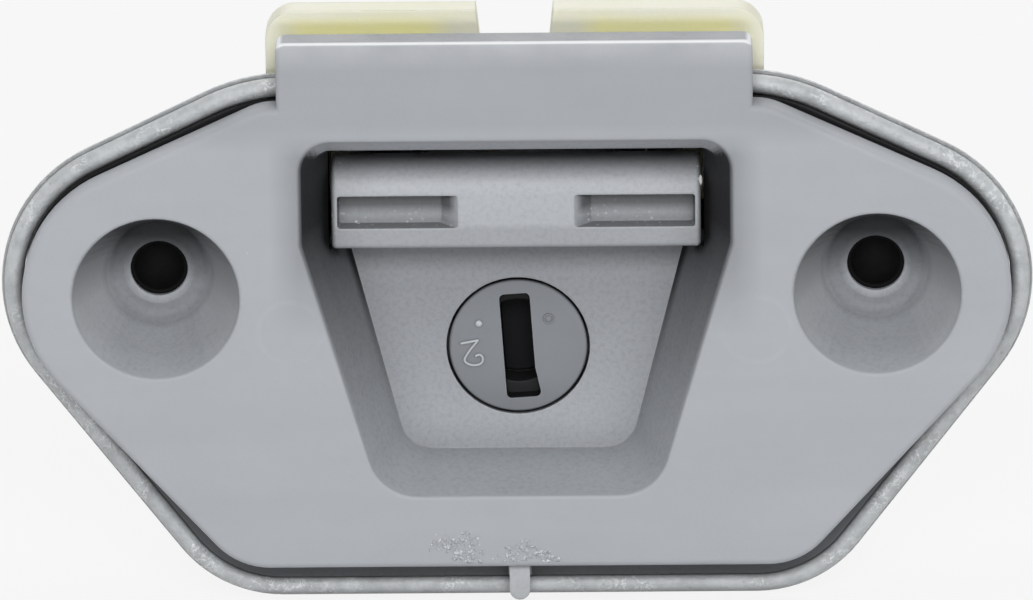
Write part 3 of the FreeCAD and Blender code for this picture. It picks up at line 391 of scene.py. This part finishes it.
def lathe(bm, profile, x, z, steps=40):
    """Turns a closed profile of (radius, y) about the line along Y through x and z."""
    verts = [bm.verts.new((x + radius, y, z)) for radius, y in profile]
    edges = [bm.edges.new(pair) for pair in zip(verts, verts[1:] + verts[:1])]
    bmesh.ops.spin(
        bm, geom=edges + verts, cent=(x, 0.0, z), axis=(0.0, 1.0, 0.0), dvec=(0.0, 0.0, 0.0),
        angle=2.0 * math.pi, steps=steps, use_merge=True, use_duplicate=False)


def closed_piece(name, bm):
    """Merges the seams and poles, points the faces outwards and makes the piece."""
    bmesh.ops.remove_doubles(bm, verts=bm.verts, dist=1e-7)
    bmesh.ops.recalc_face_normals(bm, faces=bm.faces)
    for face in bm.faces:
        face.smooth = True
    return new_piece(name, bm)


def ejector_marks(name, face_y, places):
    """The thin raised rings that the mould's ejector pins leave on an inner face."""
    bm = bmesh.new()
    profile = [
        (ejector_radius, face_y - ejector_rim),
        (ejector_radius * 0.96, face_y + ejector_rim),
        (ejector_radius * 0.9, face_y + ejector_rim),
        (ejector_radius * 0.86, face_y - ejector_rim),
    ]
    for x, z in places:
        lathe(bm, profile, x, z)
    return closed_piece(name, bm)


cover_marks = ejector_marks("cover_ejector_marks", front_face + cover_wall, cover_pins)
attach(cover_marks, "housing")

# The painted shade, the painted highlights and the wear on the cover, laid where the photograph
# has them. Each pair below is a height, a depth or a distance in metres where a mark starts, and one
# where it is full or gone.
hole_x = 0.035
pocket_edge = 0.0211
cup_radius = 0.0088
cup_taper = 0.344
cup_ring_radius = 0.0042
cup_ring_width = 0.0014
disc_middle = -0.0081
skin_depth = (front_face + 0.0001, front_face + 0.0008)
pocket_side = (pocket_edge, pocket_edge + 0.0005)
pocket_wall_dark = (-0.016, 0.0065)
pocket_floor_dark = (-0.016, -0.002)
pocket_floor_depth = (-0.0035, -0.0025)
cup_side = (cup_radius, cup_radius + 0.0002)
cup_dark = (-0.0015, 0.0036)
cup_floor_depth = (-0.006, -0.003)
mouth_side = (pocket_edge, pocket_edge + 0.0028)
mouth_foot = (-0.004, 0.004)
mouth_head = (0.0142, 0.0165)
block_foot = (0.0150, 0.0175)
crest_foot = (0.0230, 0.0256)
crest_head = (0.0250, 0.0252)
joint_start = (-0.00715, -0.00710)
joint_end = (-0.0070, -0.0069)
groove_start = (-0.0087, -0.0085)
groove_end = (-0.0048, -0.0042)
disc_side = (0.0062, 0.0066)
disc_back = (-0.0012, -0.0006)
nib_side = (0.0011, 0.0012)
nib_head = (-0.0282, -0.0278)
rub_rings = [(-0.0220, -0.0035, 0.0031), (0.0233, -0.0035, 0.0033)]
rub_width = 0.00035

cover_finish = moulded_plastic(
    "cover_grey", cover_grey, worn_and_lit_grey, dirt_and_shade_reach=0.005, dirt_and_shade_depth=0.5)
cover_finish.set("Specular IOR Level", 0.15)
# A near-black grey, for the painted shade on the cover and for its dirt.
grime_and_shade_black = shaded(cover_grey, 0.02)
rough_skin = cover_finish.noise(0.0005, detail=4.0, roughness=0.7).above(0.45, 0.7)
cover_across = abs(cover_finish.along("X"))
cover_depth = cover_finish.along("Y")
cover_height = cover_finish.along("Z")
sideways = abs(cover_finish.facing("X"))
frontwards = (-1.0 * cover_finish.facing("Y")).above(0.7, 0.9)
not_rearwards = cover_finish.facing("Y").below(0.3, 0.6)
upwards = cover_finish.facing("Z")
behind_face = cover_depth.above(*skin_depth)

# Painted shade in the pocket: its side walls, and a little its floor, darken towards the top.
in_pocket = behind_face * cover_across.below(*pocket_side)
pocket_wall_shade = sideways.above(0.45, 0.75) * cover_height.above(*pocket_wall_dark)
pocket_floor_shade = cover_depth.above(*pocket_floor_depth) * cover_height.above(*pocket_floor_dark)
cover_finish.tint(in_pocket * (pocket_wall_shade * 0.97 + pocket_floor_shade * 0.3), grime_and_shade_black)
cover_finish.tint(in_pocket * rough_skin, grime_and_shade_black, strength=0.16)
for x in (-hole_x, hole_x):
    from_wall = distance_from(cover_finish, x, 0.0) + (cover_depth - front_face) * cup_taper
    in_cup = behind_face * from_wall.below(*cup_side) * not_rearwards
    # Painted shade over the upper part of each cup.
    cover_finish.tint(in_cup * cover_height.above(*cup_dark), grime_and_shade_black, strength=0.88)
    cover_finish.tint(in_cup * rough_skin, grime_and_shade_black, strength=0.14)
    # Painted light: the cup's side walls are tinted paler.
    cover_finish.tint(in_cup * sideways.above(0.5, 0.9), worn_and_lit_grey, strength=0.35)
    # A ring of painted shade round the hole in the cup's floor.
    cup_ring = ring_mark(cover_finish, x, 0.0, cup_ring_radius, cup_ring_width)
    cup_ring *= cover_depth.above(*cup_floor_depth)
    cover_finish.tint(cup_ring, grime_and_shade_black, strength=0.35)
# Painted shade on the face beside the pocket's mouth.
beside_mouth = (1.0 - behind_face) * cover_across.below(*mouth_side)
beside_mouth *= cover_height.above(*mouth_foot) * cover_height.below(*mouth_head)
cover_finish.tint(beside_mouth, grime_and_shade_black, strength=0.28)
# Painted shade over the block above the pocket.
cover_finish.tint(cover_height.above(*block_foot), grime_and_shade_black, strength=0.13)
# The crest is tinted pale in patches, partly as wear and partly as a painted highlight.
crest_wear_and_highlight = cover_height.above(*crest_foot) * cover_finish.noise(0.006).above(0.2, 0.6)
cover_finish.tint(crest_wear_and_highlight, worn_and_lit_grey, strength=0.4)
crest = cover_height.above(*crest_head)
# Painted shade on the crest's upward-facing top.
cover_finish.tint(crest * upwards.above(0.85, 0.98), grime_and_shade_black, strength=0.25)
# A painted highlight along the crest's front edge.
crest_highlight_line = crest * upwards.above(0.3, 0.5) * upwards.below(0.8, 0.95)
cover_finish.tint(crest_highlight_line, crest_highlight_white, strength=0.9)
# Painted shade on the front-facing ledge between the cover's rim and the seal.
joint = cover_depth.above(*joint_start) * cover_depth.below(*joint_end)
cover_finish.tint(joint * frontwards, grime_and_shade_black, strength=0.7)
# Painted shade in the tight places of the seal's groove.
groove = cover_depth.above(*groove_start) * cover_depth.below(*groove_end)
tight_place = (1.0 - openness(cover_finish, 0.0018)).above(0.1, 0.35)
cover_finish.tint(tight_place * groove, grime_and_shade_black, strength=0.95)
# Near-black painted shade on the cover behind the rim of the rotor's disc.
behind_disc = distance_from(cover_finish, 0.0, disc_middle).below(*disc_side)
behind_disc *= cover_depth.above(*disc_back)
cover_finish.tint(behind_disc, grime_and_shade_black, strength=0.97)
nib_wear = cover_across.below(*nib_side) * cover_height.below(*nib_head)
cover_finish.tint(nib_wear, worn_and_lit_grey, strength=0.35)
for x, z, radius in rub_rings:
    rub = ring_mark(cover_finish, x, z, radius, rub_width)
    rub *= cover_finish.noise(0.003).above(0.4, 0.6)
    cover_finish.tint(rub, worn_and_lit_grey, strength=0.06)
cover_finish.dress(cover, cover_marks)

# The foam residue on the cover's lower edge, where a gasket has been pulled off. Pale crumbs
# are pressed into the plate's face in four short trails, two left of the nib and two above it.
crumb_grey = screen_colour(176, 179, 184)
crumb_pale = screen_colour(232, 234, 236)
crumb_trails = [
    (Vector((-0.0080, 0.0, -0.0249)), Vector((-0.0044, 0.0, -0.0268)), 0.0011, 120),
    (Vector((-0.0066, 0.0, -0.0247)), Vector((-0.0032, 0.0, -0.0262)), 0.0012, 44),
    (Vector((-0.0014, 0.0, -0.0267)), Vector((0.0008, 0.0, -0.0258)), 0.0009, 60),
    (Vector((0.0008, 0.0, -0.0260)), Vector((0.0036, 0.0, -0.0269)), 0.0008, 50),
]
crumb_lowest = -0.0271
crumb_highest = -0.0242
crumb_radii = (0.00005, 0.00018)
crumb_thickness = 0.5

chance = random.Random(7)
crumb_shape = bmesh.new()
for start, end, spread, count in crumb_trails:
    for _ in range(count):
        place = start.lerp(end, chance.random())
        place.x += chance.gauss(0.0, spread * 0.5)
        place.z += chance.gauss(0.0, spread * 0.5)
        place.z = min(max(place.z, crumb_lowest), crumb_highest)
        place.y = front_face
        radius = chance.uniform(*crumb_radii)
        crumb = bmesh.ops.create_icosphere(crumb_shape, subdivisions=1, radius=radius)["verts"]
        for vert in crumb:
            vert.co *= chance.uniform(0.75, 1.25)
        stretch = (chance.uniform(0.7, 2.2), crumb_thickness, chance.uniform(0.6, 1.3))
        bmesh.ops.scale(crumb_shape, verts=crumb, vec=stretch)
        turn = Matrix.Rotation(chance.uniform(0.0, math.pi), 3, "Y")
        bmesh.ops.rotate(crumb_shape, verts=crumb, cent=(0.0, 0.0, 0.0), matrix=turn)
        bmesh.ops.translate(crumb_shape, verts=crumb, vec=place)
crumbs = closed_piece("foam_crumbs", crumb_shape)
crumb_finish = Finish("foam_crumbs", crumb_grey, Roughness=0.6)
crumb_cloud = crumb_finish.noise(0.0005)
crumb_finish.tint(crumb_cloud.above(0.5, 0.7), crumb_pale)
relief(crumb_finish, crumb_cloud, 0.00008)
crumb_finish.dress(crumbs)
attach(crumbs, "housing")

# The discs in the two fixing holes, thin and black: painted shade that stands for the dark seen
# down the holes. A bead round the rim holds each one in its hole.
hole_shade_black = screen_colour(11, 11, 12)
hole_disc_mottle_grey = screen_colour(24, 24, 27)
hole_radius = 0.0028
hole_disc_front = -0.0009
hole_disc_back = -0.0004
hole_disc_bead = 0.00045
hole_disc_grip = 0.00004
hole_disc_lap = 0.00002
hole_disc_inset = 0.00005
hole_disc_dish = 0.0001
bead_round = 0.0001
bead_crown = 0.0002

hole_disc_shape = bmesh.new()
bead_outer = hole_radius + hole_disc_grip
bead_inner = hole_radius - hole_disc_bead
bead_middle = (bead_outer + bead_inner) / 2
bead_profile = [
    (bead_outer, hole_disc_back + bead_round),
    (bead_outer, hole_disc_front - bead_round),
    (bead_middle, hole_disc_front - bead_crown),
    (bead_inner, hole_disc_front),
    (bead_inner, hole_disc_back),
    (bead_middle, hole_disc_back + bead_crown),
]
skin_radius = bead_inner + hole_disc_lap
skin_profile = [
    (0.0, hole_disc_front + hole_disc_inset + hole_disc_dish),
    (skin_radius, hole_disc_front + hole_disc_inset),
    (skin_radius, hole_disc_back - hole_disc_inset),
    (0.0, hole_disc_back - hole_disc_lap),
]
for x in (-hole_x, hole_x):
    lathe(hole_disc_shape, bead_profile, x, 0.0)
    lathe(hole_disc_shape, skin_profile, x, 0.0)
hole_shade_discs = closed_piece("fixing_hole_shade_discs", hole_disc_shape)

# The discs are painted near-black as shade, with a faint mottle.
hole_shade_finish = Finish("hole_shade_black", hole_shade_black, Roughness=0.6)
hole_shade_finish.set("Specular IOR Level", 0.1)
hole_disc_mottle = hole_shade_finish.noise(0.0012, detail=4.0)
hole_shade_finish.tint(hole_disc_mottle.above(0.5, 0.8), hole_disc_mottle_grey, strength=0.5)
hole_shade_finish.set("Roughness", hole_disc_mottle * 0.2 + 0.65)
relief(hole_shade_finish, hole_shade_finish.noise(0.0002), 0.00003)
hole_shade_finish.dress(hole_shade_discs)
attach(hole_shade_discs, "housing")

# The seal, a round cord of soft grey rubber pushed into the groove between the cover and the
# housing. Its skin is dull and blotched, with specks of dust, thin pale streaks of painted
# highlight, and painted shade where other parts stand close to it.
seal_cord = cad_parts["seal_cord"]
seal_grey = screen_colour(190, 193, 195)
seal_dull = screen_colour(146, 149, 151)
seal_dirt = screen_colour(118, 122, 124)
seal_dust = screen_colour(216, 220, 221)
seal_highlight_white = screen_colour(240, 242, 243)

seal_finish = Finish("seal_rubber", seal_grey, Roughness=0.5)
seal_blotches = seal_finish.noise(0.0022, detail=5.0, roughness=0.65)
seal_finish.tint(seal_blotches.above(0.4, 0.75), seal_dull, strength=0.7)
seal_finish.tint(seal_finish.specks(0.0002, 0.0016), seal_dirt, strength=0.3)
seal_patches = seal_finish.noise(0.0045, detail=2.0).above(0.5, 0.6)
seal_specks = seal_finish.specks(0.00016, 0.0009, turn=(0.4, 0.0, 0.7))
seal_finish.tint(seal_specks * seal_patches, seal_dust, strength=0.8)
# Painted highlights: thin pale squiggles, which are also glossier.
seal_curls = seal_finish.noise(0.0012, detail=4.0, roughness=0.6, turn=(0.0, 0.5, 0.0))
seal_highlight_streaks = abs(seal_curls - 0.5).below(0.008, 0.03) * seal_patches
seal_finish.tint(seal_highlight_streaks, seal_highlight_white, strength=0.6)
# Painted shade where other parts stand close to the cord.
seal_finish.tint(1.0 - openness(seal_finish, 0.0016), shaded(seal_grey, 0.15))
seal_skin = seal_finish.noise(0.0007, detail=4.0, roughness=0.6)
seal_finish.set("Roughness", seal_skin * 0.4 + 0.2 - seal_highlight_streaks * 0.2)
relief(seal_finish, seal_skin + seal_blotches * 0.5, 0.00014)
seal_finish.dress(seal_cord)

# The latch bar that the striker lifts, moulded from a tougher grey plastic with two recesses in
# its face. Grit gathers in them, under painted shade at their tops; its edges are pale from wear
# and a painted highlight, its lower lip carries painted shade, and one end still has a scrap of flash.
latch_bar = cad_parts["latch_bar"]
bar_grey = screen_colour(182, 185, 190)
bar_worn_and_lit = screen_colour(220, 222, 225)
grit_grey = screen_colour(214, 216, 218)
flash_grey = screen_colour(206, 207, 205)
torn_grey = screen_colour(168, 170, 168)
recess_depth = (-0.0068, -0.0062)
recess_dark = (0.0066, 0.0076)
recess_roof = (0.0088, 0.0092)
lip_head = (0.0054, 0.0060)
flash_place = Vector((0.01793, -0.0063, 0.0101))
flash_size = (0.0002, 0.0004, 0.00055)

bar_finish = moulded_plastic(
    "bar_grey", bar_grey, bar_worn_and_lit, grain=0.0003, edge=0.00035, dirt_and_shade_reach=0.006)
bar_hollow = (1.0 - openness(bar_finish, 0.003)).above(0.15, 0.5)
bar_skin = bar_finish.noise(0.0005, detail=4.0, roughness=0.7).above(0.45, 0.7)
bar_finish.tint(bar_skin, shaded(bar_grey, 0.05), strength=0.14)
bar_grit = bar_finish.specks(0.00017, 0.0007) * bar_finish.noise(0.003).above(0.4, 0.5)
bar_finish.tint(bar_hollow * bar_grit, grit_grey, strength=0.8)
bar_height = bar_finish.along("Z")
# Painted shade in the upper part of each recess.
recess_shade = bar_finish.along("Y").above(*recess_depth)
recess_shade *= bar_height.above(*recess_dark) * bar_height.below(*recess_roof)
bar_finish.tint(recess_shade, shaded(bar_grey, 0.05), strength=0.75)
# Painted shade on the lower lip.
bar_finish.tint(bar_height.below(*lip_head), shaded(bar_grey, 0.2), strength=0.25)
bar_finish.dress(latch_bar)

flash_shape = bmesh.new()
flash = bmesh.ops.create_icosphere(flash_shape, subdivisions=2, radius=1.0)["verts"]
bmesh.ops.scale(flash_shape, verts=flash, vec=flash_size)
bmesh.ops.translate(flash_shape, verts=flash, vec=flash_place)
bar_flash = closed_piece("bar_end_flash", flash_shape)
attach(bar_flash, "latch_bar")
flash_finish = Finish("flash_grey", flash_grey, Roughness=0.5)
flash_torn = flash_finish.noise(0.0002)
flash_finish.tint(flash_torn.above(0.4, 0.7), torn_grey, strength=0.5)
relief(flash_finish, flash_torn, 0.00005)
flash_finish.dress(bar_flash)

# The key rotor, whose disc fills the round opening in the pocket's floor. It is turned by its
# slot, whose inside is painted dark as shade, and small raised marks on the disc show which way round
# it goes.
key_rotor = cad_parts["key_rotor"]
rotor_grey = screen_colour(142, 145, 150)
mark_grey = screen_colour(196, 199, 203)
mark_worn_and_lit = screen_colour(226, 228, 230)
disc_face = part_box("key_rotor")[0].y
mark_sink = 0.00004
dot_place = (-0.00382, -0.00580)
dot_radius = 0.000375
dot_rise = 0.00016
ring_place = (0.00299, -0.00535)
ring_radius = 0.00044
ring_wire = 0.00009
numeral_place = (-0.00457, -0.00868)
numeral_height = 0.0026
numeral_width = 0.0022
numeral_wire = 0.00013
numeral_box = 0.8
slot_side = (0.0024, 0.0027)
slot_mouth = (disc_face + 0.00004, disc_face + 0.0003)
slot_end = (disc_face + 0.006, disc_face + 0.007)

mark_shape = bmesh.new()
dot_profile = [
    (0.0, disc_face - dot_rise),
    (dot_radius * 0.5, disc_face - dot_rise * 0.875),
    (dot_radius * 0.85, disc_face - dot_rise * 0.5),
    (dot_radius, disc_face + mark_sink),
    (0.0, disc_face + mark_sink),
]
lathe(mark_shape, dot_profile, *dot_place, steps=20)
disc_dot = closed_piece("disc_dot", mark_shape)
ring_profile = [
    (ring_radius + ring_wire * math.cos(angle), disc_face + ring_wire * math.sin(angle))
    for angle in (math.pi * step / 4 for step in range(8))
]
ring_shape = bmesh.new()
lathe(ring_shape, ring_profile, *ring_place, steps=24)
disc_ring = closed_piece("disc_ring", ring_shape)

numeral_strokes = [
    [(0.27, 0.69), (0.14, 0.58), (-0.02, 0.72), (0.04, 1.0), (0.42, 1.06), (0.7, 0.86),
     (0.56, 0.6), (0.38, 0.32), (0.15, 0.03)],
    [(0.15, 0.05), (0.8, 0.18)],
]
numeral_line = bpy.data.curves.new("disc_numeral", "CURVE")
numeral_line.dimensions = "3D"
numeral_line.bevel_depth = numeral_wire
numeral_line.bevel_resolution = 2
numeral_line.use_fill_caps = True
for stroke in numeral_strokes:
    spline = numeral_line.splines.new("NURBS")
    spline.points.add(len(stroke) - 1)
    for point, (across, up) in zip(spline.points, stroke):
        x = numeral_place[0] - (across / numeral_box - 0.5) * numeral_width
        z = numeral_place[1] - (up - 0.5) * numeral_height
        point.co = (x, disc_face, z, 1.0)
    spline.order_u = 3
    spline.use_endpoint_u = True
    spline.resolution_u = 8
numeral_curve = bpy.data.objects.new("disc_numeral_line", numeral_line)
numeral_mesh = bpy.data.meshes.new_from_object(numeral_curve)
bpy.data.objects.remove(numeral_curve)
numeral_shape = bmesh.new()
numeral_shape.from_mesh(numeral_mesh)
numeral = closed_piece("disc_numeral", numeral_shape)

rotor_finish = moulded_plastic(
    "rotor_grey", rotor_grey, worn_and_lit_grey, edge=0.00012, dirt_and_shade_reach=0.009, dirt_and_shade_depth=1.5)
rotor_finish.set("IOR", 1.1)
rotor_depth = rotor_finish.along("Y")
# Painted shade: the inside of the slot is near-black.
in_slot = abs(rotor_finish.along("X")).below(*slot_side)
in_slot *= rotor_depth.above(*slot_mouth) * rotor_depth.below(*slot_end)
rotor_finish.tint(in_slot, shaded(rotor_grey, 0.04), strength=0.95)
rotor_finish.dress(key_rotor, disc_ring)
mark_finish = moulded_plastic(
    "disc_marks", mark_grey, mark_worn_and_lit, grain=0.0002, edge=0.00008, dirt_and_shade_reach=0.0006,
    dirt_and_shade_left=0.3)
mark_finish.dress(disc_dot, numeral)
for piece in (disc_dot, disc_ring, numeral):
    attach(piece, "key_rotor")

# The rear housing, moulded from ivory nylon. It is slightly see-through, and its edges are
# painted paler than its middle for the light that comes through them, with painted shade in its
# hollows. Each hump has a yellower band across its front, and its upward-facing top is painted
# greyer as shade.
rear_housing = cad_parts["rear_housing"]
ivory = screen_colour(238, 237, 219)
pale_ivory = screen_colour(238, 238, 226)
deep_ivory = screen_colour(228, 225, 168)
band_ivory = screen_colour(250, 245, 172)
top_shade_ivory = screen_colour(190, 188, 166)
ivory_speck = screen_colour(150, 142, 108)
hump_inner = (0.0060, 0.0085)
hump_outer = (0.0205, 0.0232)
band_foot = (0.0222, 0.0236)
band_head = (0.0252, 0.0264)
hump_top = (0.024, 0.026)

ivory_finish = Finish("ivory_nylon", ivory, Roughness=0.45, IOR=1.53)
ivory_finish.set("Subsurface Weight", 0.15)
ivory_finish.set("Subsurface Radius", (0.0012, 0.0010, 0.0006))
ivory_cloud = ivory_finish.noise(0.008, detail=4.0)
ivory_flow = ivory_finish.noise(0.004, stretch=(0.3, 1.0, 1.5))
ivory_across = abs(ivory_finish.along("X"))
ivory_height = ivory_finish.along("Z")
ivory_front = (-1.0 * ivory_finish.facing("Y")).above(0.7, 0.9)
ivory_finish.tint(ivory_cloud.above(0.4, 0.7), deep_ivory, strength=0.3)
ivory_finish.tint(ivory_flow.above(0.5, 0.8), pale_ivory, strength=0.4)
# Painted light: the edges are paler, for the light that comes through the thin nylon.
ivory_finish.tint(outer_edges(ivory_finish, 0.0008), pale_ivory, strength=0.5)
# Painted shade in the hollows.
ivory_finish.tint(1.0 - openness(ivory_finish, 0.002), shaded(ivory, 0.6), strength=0.4)
hump_band = ivory_across.above(*hump_inner) * ivory_across.below(*hump_outer)
hump_band *= ivory_height.above(*band_foot) * ivory_height.below(*band_head)
ivory_finish.tint(hump_band * ivory_front * (ivory_cloud * 0.4 + 0.6), band_ivory)
# Painted shade on the upward-facing tops of the humps.
top_shade = ivory_finish.facing("Z").above(0.3, 0.9) * ivory_height.above(*hump_top)
ivory_finish.tint(top_shade, top_shade_ivory, strength=0.4)
ivory_finish.tint(ivory_finish.specks(0.00018, 0.003), ivory_speck, strength=0.6)
ivory_grain = ivory_finish.noise(0.0003, detail=2.0)
ivory_finish.set("Roughness", ivory_grain * 0.15 + ivory_cloud * 0.1 + 0.3)
relief(ivory_finish, ivory_grain, 0.00002, soft_edges=0.0003)
ivory_finish.dress(rear_housing)

# The rear lid, moulded from a darker grey and screwed on over the switches. Its back shows
# the rings of the ejector pins and the cut stub of the gate.
rear_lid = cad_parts["rear_lid"]
lid_grey = screen_colour(150, 152, 155)
lid_worn_and_lit = screen_colour(190, 192, 195)
lid_rib = 0.0009
lid_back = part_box("rear_lid")[1].y - lid_rib
lid_pins = [(-0.009, 0.006), (0.009, 0.006), (-0.012, -0.009), (0.012, -0.009)]
gate_place = (0.0, -0.006)
gate_radius = 0.0011
gate_height = 0.0003
gate_foot = 0.00004
gate_sink = 0.00005

lid_marks = ejector_marks("lid_ejector_marks", lid_back, lid_pins)
gate_shape = bmesh.new()
gate_profile = [
    (0.0, lid_back + gate_height),
    (gate_radius * 0.55, lid_back + gate_height * 0.8),
    (gate_radius * 0.7, lid_back + gate_height * 0.3),
    (gate_radius, lid_back + gate_foot),
    (gate_radius, lid_back - gate_sink),
    (0.0, lid_back - gate_sink),
]
lathe(gate_shape, gate_profile, *gate_place)
gate_stub = closed_piece("lid_gate_stub", gate_shape)
lid_finish = moulded_plastic("lid_grey", lid_grey, lid_worn_and_lit, grain=0.0005)
lid_finish.dress(rear_lid, lid_marks, gate_stub)
for piece in (lid_marks, gate_stub):
    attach(piece, "housing")

# The cam on the rotor's tail, moulded from white acetal. It is slick and a little waxy, lets some
# light into its skin, and has less dirt and painted shade on it than the outer pieces.
rotor_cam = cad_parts["rotor_cam"]
cam_white = screen_colour(228, 228, 224)
cam_worn_and_lit = screen_colour(240, 240, 238)
cam_finish = moulded_plastic(
    "cam_plastic", cam_white, cam_worn_and_lit, grain=0.0006, grain_height=0.00001, dirt_and_shade_reach=0.004,
    dirt_and_shade_left=0.3, gloss=0.14)
cam_finish.set("Subsurface Weight", 0.08)
cam_finish.set("Subsurface Radius", (0.0008, 0.0008, 0.0007))
cam_finish.dress(rotor_cam)

# The metal pieces: a drawn steel pivot pin, springs and clips of spring steel, and zinc-plated
# screws, with drawing marks and dull patches. A copy of each latch spring stands for it.


def metal(name, base, dull, roughness, stretch):
    """Bare or plated steel with fine marks drawn out along one axis, and duller patches."""
    finish = Finish(name, base, Metallic=1.0, Roughness=roughness)
    drawn = finish.noise(0.0004, detail=4.0, stretch=stretch)
    patches = finish.noise(0.0018, detail=4.0, roughness=0.65)
    finish.tint(patches.above(0.45, 0.7), dull, strength=0.7)
    # Painted shade in the hollows.
    finish.tint(1.0 - openness(finish, 0.002), shaded(dull, 0.15))
    finish.set("Roughness", drawn * 0.2 + patches * 0.15 + roughness - 0.12)
    relief(finish, drawn, 0.00001, soft_edges=0.00008)
    return finish


pin_finish = metal("pin_steel", screen_colour(196, 198, 202), screen_colour(150, 152, 156), 0.3,
                   stretch=(0.1, 1.0, 1.0))
pin_finish.dress(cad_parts["latch_pivot_pin"])
spring_finish = metal("spring_steel", screen_colour(168, 170, 174), screen_colour(110, 108, 104), 0.36,
                      stretch=(1.0, 1.0, 1.0))
for name in ("latch_spring_left", "latch_spring_right", "rotor_return_spring", "rotor_clip",
             "pivot_pin_clip"):
    spring_finish.dress(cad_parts[name])
for side in ("left", "right"):
    spring_name = "latch_spring_" + side
    coil_shape = bmesh.new()
    coil_shape.from_mesh(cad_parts[spring_name].data)
    coil = closed_piece("latch_coil_" + side, coil_shape)
    spring_finish.dress(coil)
    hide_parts(spring_name)
    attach(coil, "housing")
    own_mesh(coil)
screw_finish = metal("zinc_screws", screen_colour(204, 206, 210), screen_colour(164, 168, 166), 0.34,
                     stretch=(1.0, 0.15, 1.0))
passivated = screw_finish.noise(0.0006, detail=3.0).above(0.6, 0.8)
screw_finish.tint(passivated, screen_colour(206, 194, 160), strength=0.35)
screw_finish.dress(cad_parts["cover_screws"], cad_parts["lid_screws"])

# The two microswitches: black cases with dark grey covers clicked on, red plungers that the cam
# presses, and tinned brass terminals for push-on connectors.
for side in ("left", "right"):
    case_finish = moulded_plastic(
        side + "_case_black", screen_colour(46, 47, 50), screen_colour(92, 94, 98),
        grain=0.00025, edge=0.00012, dirt_and_shade_reach=0.003, dirt_and_shade_left=0.4)
    case_finish.dress(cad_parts[side + "_switch_case"])
    switch_cover_finish = moulded_plastic(
        side + "_switch_grey", screen_colour(86, 88, 92), screen_colour(130, 132, 136),
        grain=0.00025, edge=0.00012, dirt_and_shade_reach=0.003, dirt_and_shade_left=0.4)
    switch_cover_finish.dress(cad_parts[side + "_switch_cover"])
    plunger_finish = moulded_plastic(
        side + "_plunger_red", screen_colour(178, 38, 34), screen_colour(204, 92, 84),
        grain=0.0002, edge=0.0001, dirt_and_shade_reach=0.0015, dirt_and_shade_left=0.4, gloss=0.1)
    plunger_finish.dress(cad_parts[side + "_switch_plunger"])
    terminal_finish = metal(
        side + "_tinned_brass", screen_colour(206, 200, 184), screen_colour(176, 158, 118), 0.32,
        stretch=(1.0, 0.2, 1.0))
    terminal_finish.dress(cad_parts[side + "_switch_terminals"])
